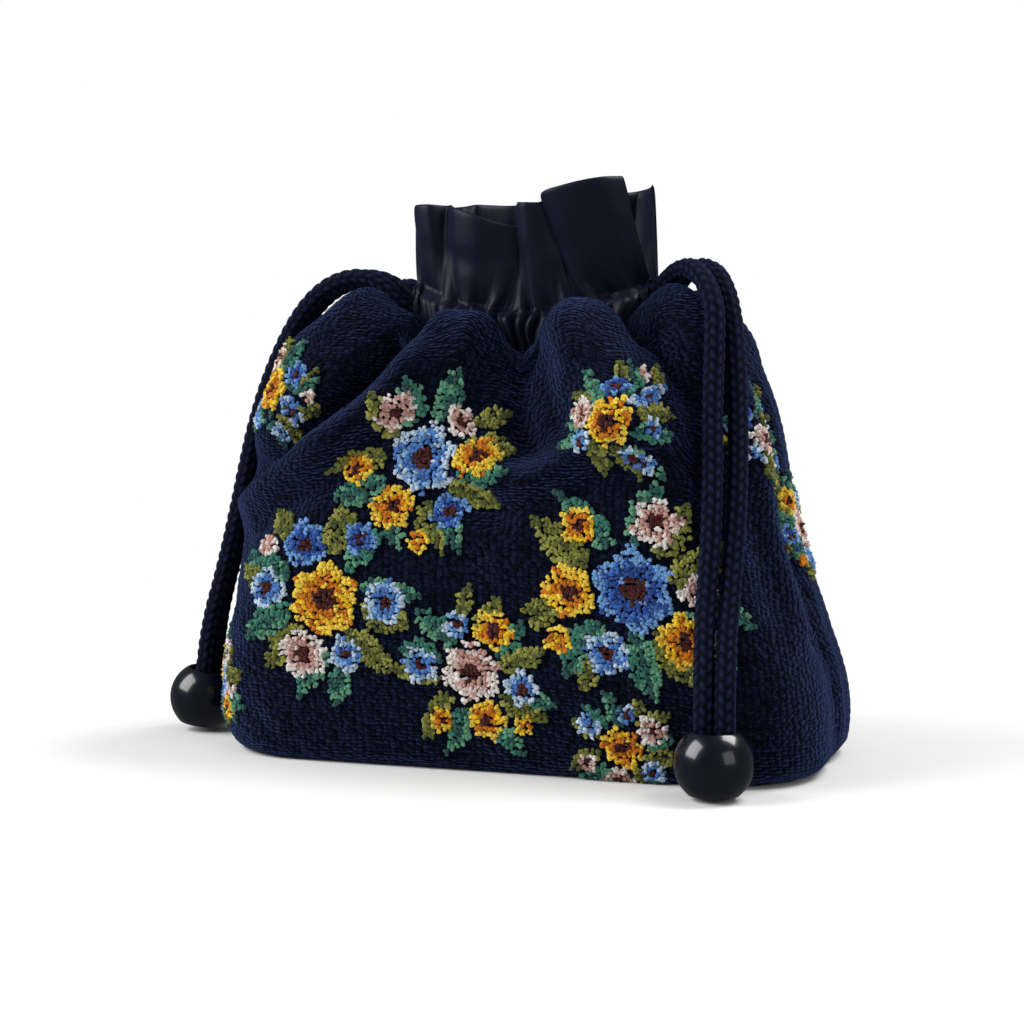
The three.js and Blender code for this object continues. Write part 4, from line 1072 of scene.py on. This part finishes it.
class POUCH_OT_stage(bpy.types.Operator):
    """Sets up the floor, the lamps, the world and the camera"""

    bl_idname = "pouch.stage"
    bl_label = "Stage"

    def execute(self, context):
        settings = context.scene.pouch
        self.add_camera(context.scene)
        self.add_floor(settings.colours.floor)
        self.add_lamps(settings.light)
        self.add_world(context.scene, settings.light.sky)
        context.scene.view_settings.view_transform = "Standard"
        return {"FINISHED"}

    def add_aimed(self, name, data, place, target):
        """Puts a lamp or a camera at a place and turns it to its target."""
        thing = bpy.data.objects.new(name, data)
        thing.location = place
        thing.rotation_euler = (target - thing.location).to_track_quat("-Z", "Y").to_euler()
        bpy.context.collection.objects.link(thing)
        return thing

    def add_camera(self, scene):
        """The photograph's view: 18 degrees to the right of the front and 5 degrees down."""
        target = Vector((-0.007, 0, 0.065))
        azimuth, elevation, distance = math.radians(18), math.radians(5), 0.6
        toward = Vector((math.sin(azimuth) * math.cos(elevation),
                         -math.cos(azimuth) * math.cos(elevation), math.sin(elevation)))
        data = bpy.data.cameras.new("camera")
        data.lens = 76.7
        data.sensor_width = 36
        scene.camera = self.add_aimed("camera", data, target + distance * toward, target)

    def add_floor(self, colour):
        reach = 6000
        corners = [(-reach, -reach, 0), (reach, -reach, 0), (reach, reach, 0), (-reach, reach, 0)]
        add_piece("floor", corners, [(0, 1, 2, 3)], [floor_material(colour)])

    def add_lamps(self, light):
        lamps = (
            ("key", light.key, 0.75, (-0.75, -0.42, 0.64)),
            ("fill", light.fill, 0.5, (0.75, -0.45, 0.35)),
            ("back", light.back, 0.5, (0.48, 0.25, 0.82)),
        )
        for name, power, size, place in lamps:
            data = bpy.data.lights.new(name, "AREA")
            data.energy = power
            data.size = size
            self.add_aimed(name, data, place, Vector((0, 0, 0.06)))

    def add_world(self, scene, strength):
        """Grey light for the object, a dark room in its reflections and plain white for the camera."""
        world = bpy.data.worlds.new("studio")
        world.use_nodes = True
        scene.world = world
        tree = world.node_tree
        white = (1, 1, 1, 1)
        fill(tree, tree.nodes["Background"], {"Color": white, "Strength": strength})
        shader = tree.nodes["Background"].outputs["Background"]
        rays = add_node(tree, "LightPath", {})
        for ray, level in (("Is Glossy Ray", 0.1), ("Is Camera Ray", 1)):
            light = add_node(tree, "Background", {"Color": white, "Strength": level})["Background"]
            shader = mixed(tree, rays[ray], shader, light)
        fill(tree, tree.nodes["World Output"], {"Surface": shader})


class POUCH_OT_drawstrings(bpy.types.Operator):
    """Braids the drawstrings: the free tails, the stretches in the casing and the knots"""

    bl_idname = "pouch.drawstrings"
    bl_label = "Drawstrings"

    def execute(self, context):
        settings = context.scene.pouch
        sizes = settings.sizes
        material = cord_material(settings.colours.cord)
        knots = {side: self.add_knot(side, middle, lean, sizes, material) for side, middle, lean in BEADS}
        for name, route in TAILS.items():
            side = name.split("_")[0]
            bead = bpy.data.objects[f"bead_{side}_polished"]
            self.add_tail(f"drawstring_{name}", route, [knots[side], bead], sizes, material)
        for side, tail_side, height, drop in HELD_LOOPS:
            piece, _ = braided_tube(f"drawstring_{side}_held", held_loop_points(tail_side, height, drop),
                                    CORD_SQUEEZED, sizes, material, step=0.5, sides=16)
            dress(piece, BODY, [f"drawstring_{side}_loop"])
        return {"FINISHED"}

    def add_tail(self, name, route, end_pieces, sizes, material):
        """The free part of a drawstring, from the casing to its knot."""
        diameter = sizes.cord_diameter
        piece, line = braided_tube(name, route, diameter / MM, sizes, material, step=0.36, sides=24)
        dress(piece, BODY, [f"{name}_tail"])

    def add_knot(self, side, middle, lean, sizes, material):
        """A small knot of both strands in the bead's recess."""
        turns = np.linspace(0, 2 * math.pi, 25)
        knot = np.stack([2.6 * np.sin(turns) + 0.9 * np.sin(2 * turns),
                         2.6 * np.cos(turns) - 0.9 * np.cos(2 * turns),
                         -0.75 * np.sin(3 * turns) - 3.6], -1)
        piece, _ = braided_tube(f"knot_{side}_tied", placed(knot, middle, lean), 3,
                                sizes, material, step=0.4, sides=16)
        return dress(piece, BODY, [f"knot_{side}"])


class POUCH_OT_beads(bpy.types.Operator):
    """Turns the polished beads with their bore and the recess for the knot"""

    bl_idname = "pouch.beads"
    bl_label = "Beads"

    def execute(self, context):
        settings = context.scene.pouch
        material = bead_material(settings.colours.bead)
        reach, height = bead_profile(settings.sizes.bead_diameter / MM / 2).T[..., None]
        turns = 96
        angle = np.linspace(0, 2 * np.pi, turns, endpoint=False)
        ball = np.stack([reach * np.cos(angle), reach * np.sin(angle), height + 0 * angle], -1)
        for side, middle, lean in BEADS:
            faces = grid_faces(len(ball), turns, around=True)
            piece = add_piece(f"bead_{side}_polished", placed(ball, middle, lean), faces, [material])
            dress(piece, f"bead_{side}", [f"bead_{side}"])
        return {"FINISHED"}


class POUCH_OT_body(bpy.types.Operator):
    """Lays the chenille of the body with its folds, and the tufts of the flowers on it"""

    bl_idname = "pouch.body"
    bl_label = "Body and Flowers"

    def execute(self, context):
        settings = context.scene.pouch
        sizes = settings.sizes
        navy = chenille_material(settings.colours.navy, sizes)
        yarns = [pile_material(f"pile_{name}_{shade}", colour)
                 for name, shades in PILE.items()
                 for shade, colour in zip(("plain", "deep", "light"), shades)]
        for side, folds in FOLDS.items():
            surface = body_surface(folds, sizes)
            across, up = cloth_places(surface)
            piece = self.add_panel(sizes, side, surface, across, up, navy)
            flowers = self.add_sprays(sizes, side, surface, across, up, yarns)
        return {"FINISHED"}

    def add_panel(self, sizes, side, surface, across, up, navy):
        """One chenille panel, whose pile lies under the cloth's outer face."""
        piled = surface + grid_frames(surface)[2] * pile_height(across, up, sizes)[..., None]
        piled[..., 2] = np.maximum(piled[..., 2], 0)
        faces = grid_faces(*across.shape, flip=side == "back")
        piece = add_piece(f"chenille_{side}", facing(piled, side), faces, [navy])
        mark(piece, "cloth", np.stack([across, up, 0 * up], -1).reshape(-1, 3))
        return dress(piece, BODY, [f"outer_{side}"])

    def lattice(self, sizes, laid):
        """One point of the cloth for each tuft, nearest to the middle of its cell."""
        pitch = np.array([sizes.tuft_pitch, sizes.row_pitch]) / MM
        cell = np.round(laid / pitch)
        miss = np.linalg.norm(laid - cell * pitch, axis=1)
        key = cell @ (4096, 1)
        order = np.lexsort((miss, key))
        cells = order[np.unique(key[order], return_index=True)[1]]
        return cells[laid[cells, 1] > FLOWERS_LOWEST]

    def add_sprays(self, sizes, side, surface, across, up, yarns):
        """All sprays of one panel. Each tuft belongs to the spray whose middle is nearest for its size."""
        cloth = surface.reshape(-1, 3)
        laid = np.stack([across.ravel(), up.ravel()], -1)
        cells = self.lattice(sizes, laid)
        frames = [f.reshape(-1, 3) for f in grid_frames(surface)]
        sprays = [spray for spray in SPRAYS + SMALL_SPRAYS if spray[0] == side]
        # A point at the side seams or on the base counts as a little further off
        hidden = 0.3 * (cloth[:, 1] > -3) + 0.3 * (cloth[:, 2] <= 0)
        places = []
        for spray in sprays:
            x, z = spray[2] * BODY_WIDTH, spray[3] * SHOULDER_HEIGHT
            middle = laid[np.argmin(np.hypot(cloth[:, 0] - x, cloth[:, 2] - z) + hidden)]
            places.append(laid[cells] - middle)
        reach = np.array([np.linalg.norm(place, axis=1) / spray[5] for place, spray in zip(places, sprays)])
        nearest = np.argmin(reach, axis=0)
        pieces = []
        for number, spray in enumerate(sprays):
            own = (nearest == number) & (reach[number] < SPRAY_REACH)
            pieces += self.add_spray(
                sizes, number, spray, cells[own], places[number][own], cloth, frames, yarns)
        return pieces

    def add_spray(self, sizes, number, spray, cells, places, cloth, frames, yarns):
        """The leaves, buds and bloom of one spray. Some tufts take a darker or lighter shade."""
        side, name, _, _, turn, size, *colours = spray
        yarn, kind = spray_yarns(*places.T, spray_parts(turn, size, *colours))
        shade = np.random.default_rng(number + 40).uniform(size=len(yarn))
        plain = (yarn >= 0) & (yarn // 3 != YARNS.index("maroon"))
        yarn = np.where(plain & (shade < STRAY_SHADE), yarn // 3 * 3 + 1, yarn)
        yarn = np.where(plain & (shade > 1 - STRAY_SHADE), yarn // 3 * 3 + 2, yarn)
        radius, rise = sizes.tuft_pitch / MM * TUFT_RADIUS, sizes.flower_rise / MM
        pieces = []
        for k, (part, slot) in enumerate(zip(KINDS, reversed(colours))):
            chosen = kind == k
            if not chosen.any():
                continue
            used = sorted(set(yarn[chosen].tolist()))
            points, faces, per_tuft = tufts(cloth, frames, cells[chosen], radius, rise, 10 * number + k)
            index = np.repeat([used.index(y) for y in yarn[chosen]], per_tuft)
            if side == "back":
                faces = [f[::-1] for f in faces]
            piece = add_piece(f"flowers_{side}_{name}_{part}", facing(points, side), faces,
                              [yarns[y] for y in used], index)
            solids = [f"spray_{side}_{name}_{part}{end}" for end in KINDS[part]] if spray in SPRAYS else []
            pieces.append(dress(piece, BODY, solids))
        return pieces


class POUCH_OT_frill(bpy.types.Operator):
    """Gathers the satin casing and frill"""

    bl_idname = "pouch.frill"
    bl_label = "Casing and Frill"

    def execute(self, context):
        settings = context.scene.pouch
        material = satin_material("satin", settings.colours.satin, 0.48)
        for side, crest, seed in (("front", FRONT_FRILL, 11), ("back", BACK_FRILL, 23)):
            points = frill_surface(side, crest, seed, settings.sizes.frill_columns)
            size = points.shape[:2]
            piece = add_piece(f"satin_{side}", points, [*grid_faces(*size), *end_faces(*size)], [material])
            dress(piece, BODY, [f"casing_frill_{side}"])
        return {"FINISHED"}


class POUCH_OT_lining(bpy.types.Operator):
    """Hangs the slack lining inside the body"""

    bl_idname = "pouch.lining"
    bl_label = "Lining"

    def execute(self, context):
        front = self.front_half()
        size = front.shape[:2]
        points = np.stack([front, facing(front, "back")])
        faces = [*grid_faces(*size, flip=True), *(grid_faces(*size) + size[0] * size[1])]
        material = satin_material("lining", context.scene.pouch.colours.satin, 0.55)
        piece = add_piece("lining_cloth", points, faces, [material])
        dress(piece, BODY, ["lining"])
        return {"FINISHED"}

    def front_half(self):
        """The lining's base and wall on the front side, which sags inwards here and there."""
        rows = smooth_line(LINING_ROWS, np.linspace(0, len(LINING_ROWS) - 1, 60))
        height, wide, deep = rows.T[..., None]
        share = np.linspace(0, 1, 90)[None, :]
        x, y = half_outline(share, wide * BODY_WIDTH / 2, deep * BODY_DEPTH / 2, height)
        wall = np.stack([x, y, LINING_LIFT + height * (seam_height(x) - LINING_LIFT)], -1)
        sag = 0.9 * soft_noise(share * 180, height * 110, 13, 31) * np.sin(np.pi * np.clip(height, 0, 1))
        wall = wall - grid_frames(wall)[2] * np.abs(sag)[..., None]
        base = np.stack([wall[0] * [1, t, 1] for t in np.linspace(0, 1, 6)[:-1]])
        return np.concatenate([base, wall])


class POUCH_PT_panel(bpy.types.Panel):
    """Settings and pieces of the pouch"""

    bl_label = "Drawstring Pouch"
    bl_idname = "POUCH_PT_panel"
    bl_space_type = "VIEW_3D"
    bl_region_type = "UI"
    bl_category = "Pouch"

    def draw(self, context):
        settings = context.scene.pouch
        for group in (settings.sizes, settings.colours, settings.light):
            box = self.layout.box()
            for name in group.__annotations__:
                box.prop(group, name)
        for operator in OPERATORS:
            self.layout.operator(operator.bl_idname)


OPERATORS = (
    POUCH_OT_stage,
    POUCH_OT_beads,
    POUCH_OT_drawstrings,
    POUCH_OT_frill,
    POUCH_OT_lining,
    POUCH_OT_body,
)
CLASSES = (PouchSizes, PouchColours, PouchLight, PouchSettings, *OPERATORS, POUCH_PT_panel)


def register():
    for cls in CLASSES:
        bpy.utils.register_class(cls)
    bpy.types.Scene.pouch = PointerProperty(type=PouchSettings)


def unregister():
    del bpy.types.Scene.pouch
    for cls in reversed(CLASSES):
        bpy.utils.unregister_class(cls)


def main():
    register()
    bpy.ops.pouch.stage()
    bpy.ops.pouch.beads()
    bpy.ops.pouch.drawstrings()
    bpy.ops.pouch.frill()
    bpy.ops.pouch.lining()
    bpy.ops.pouch.body()
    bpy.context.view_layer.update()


if __name__ == "__main__":
    main()
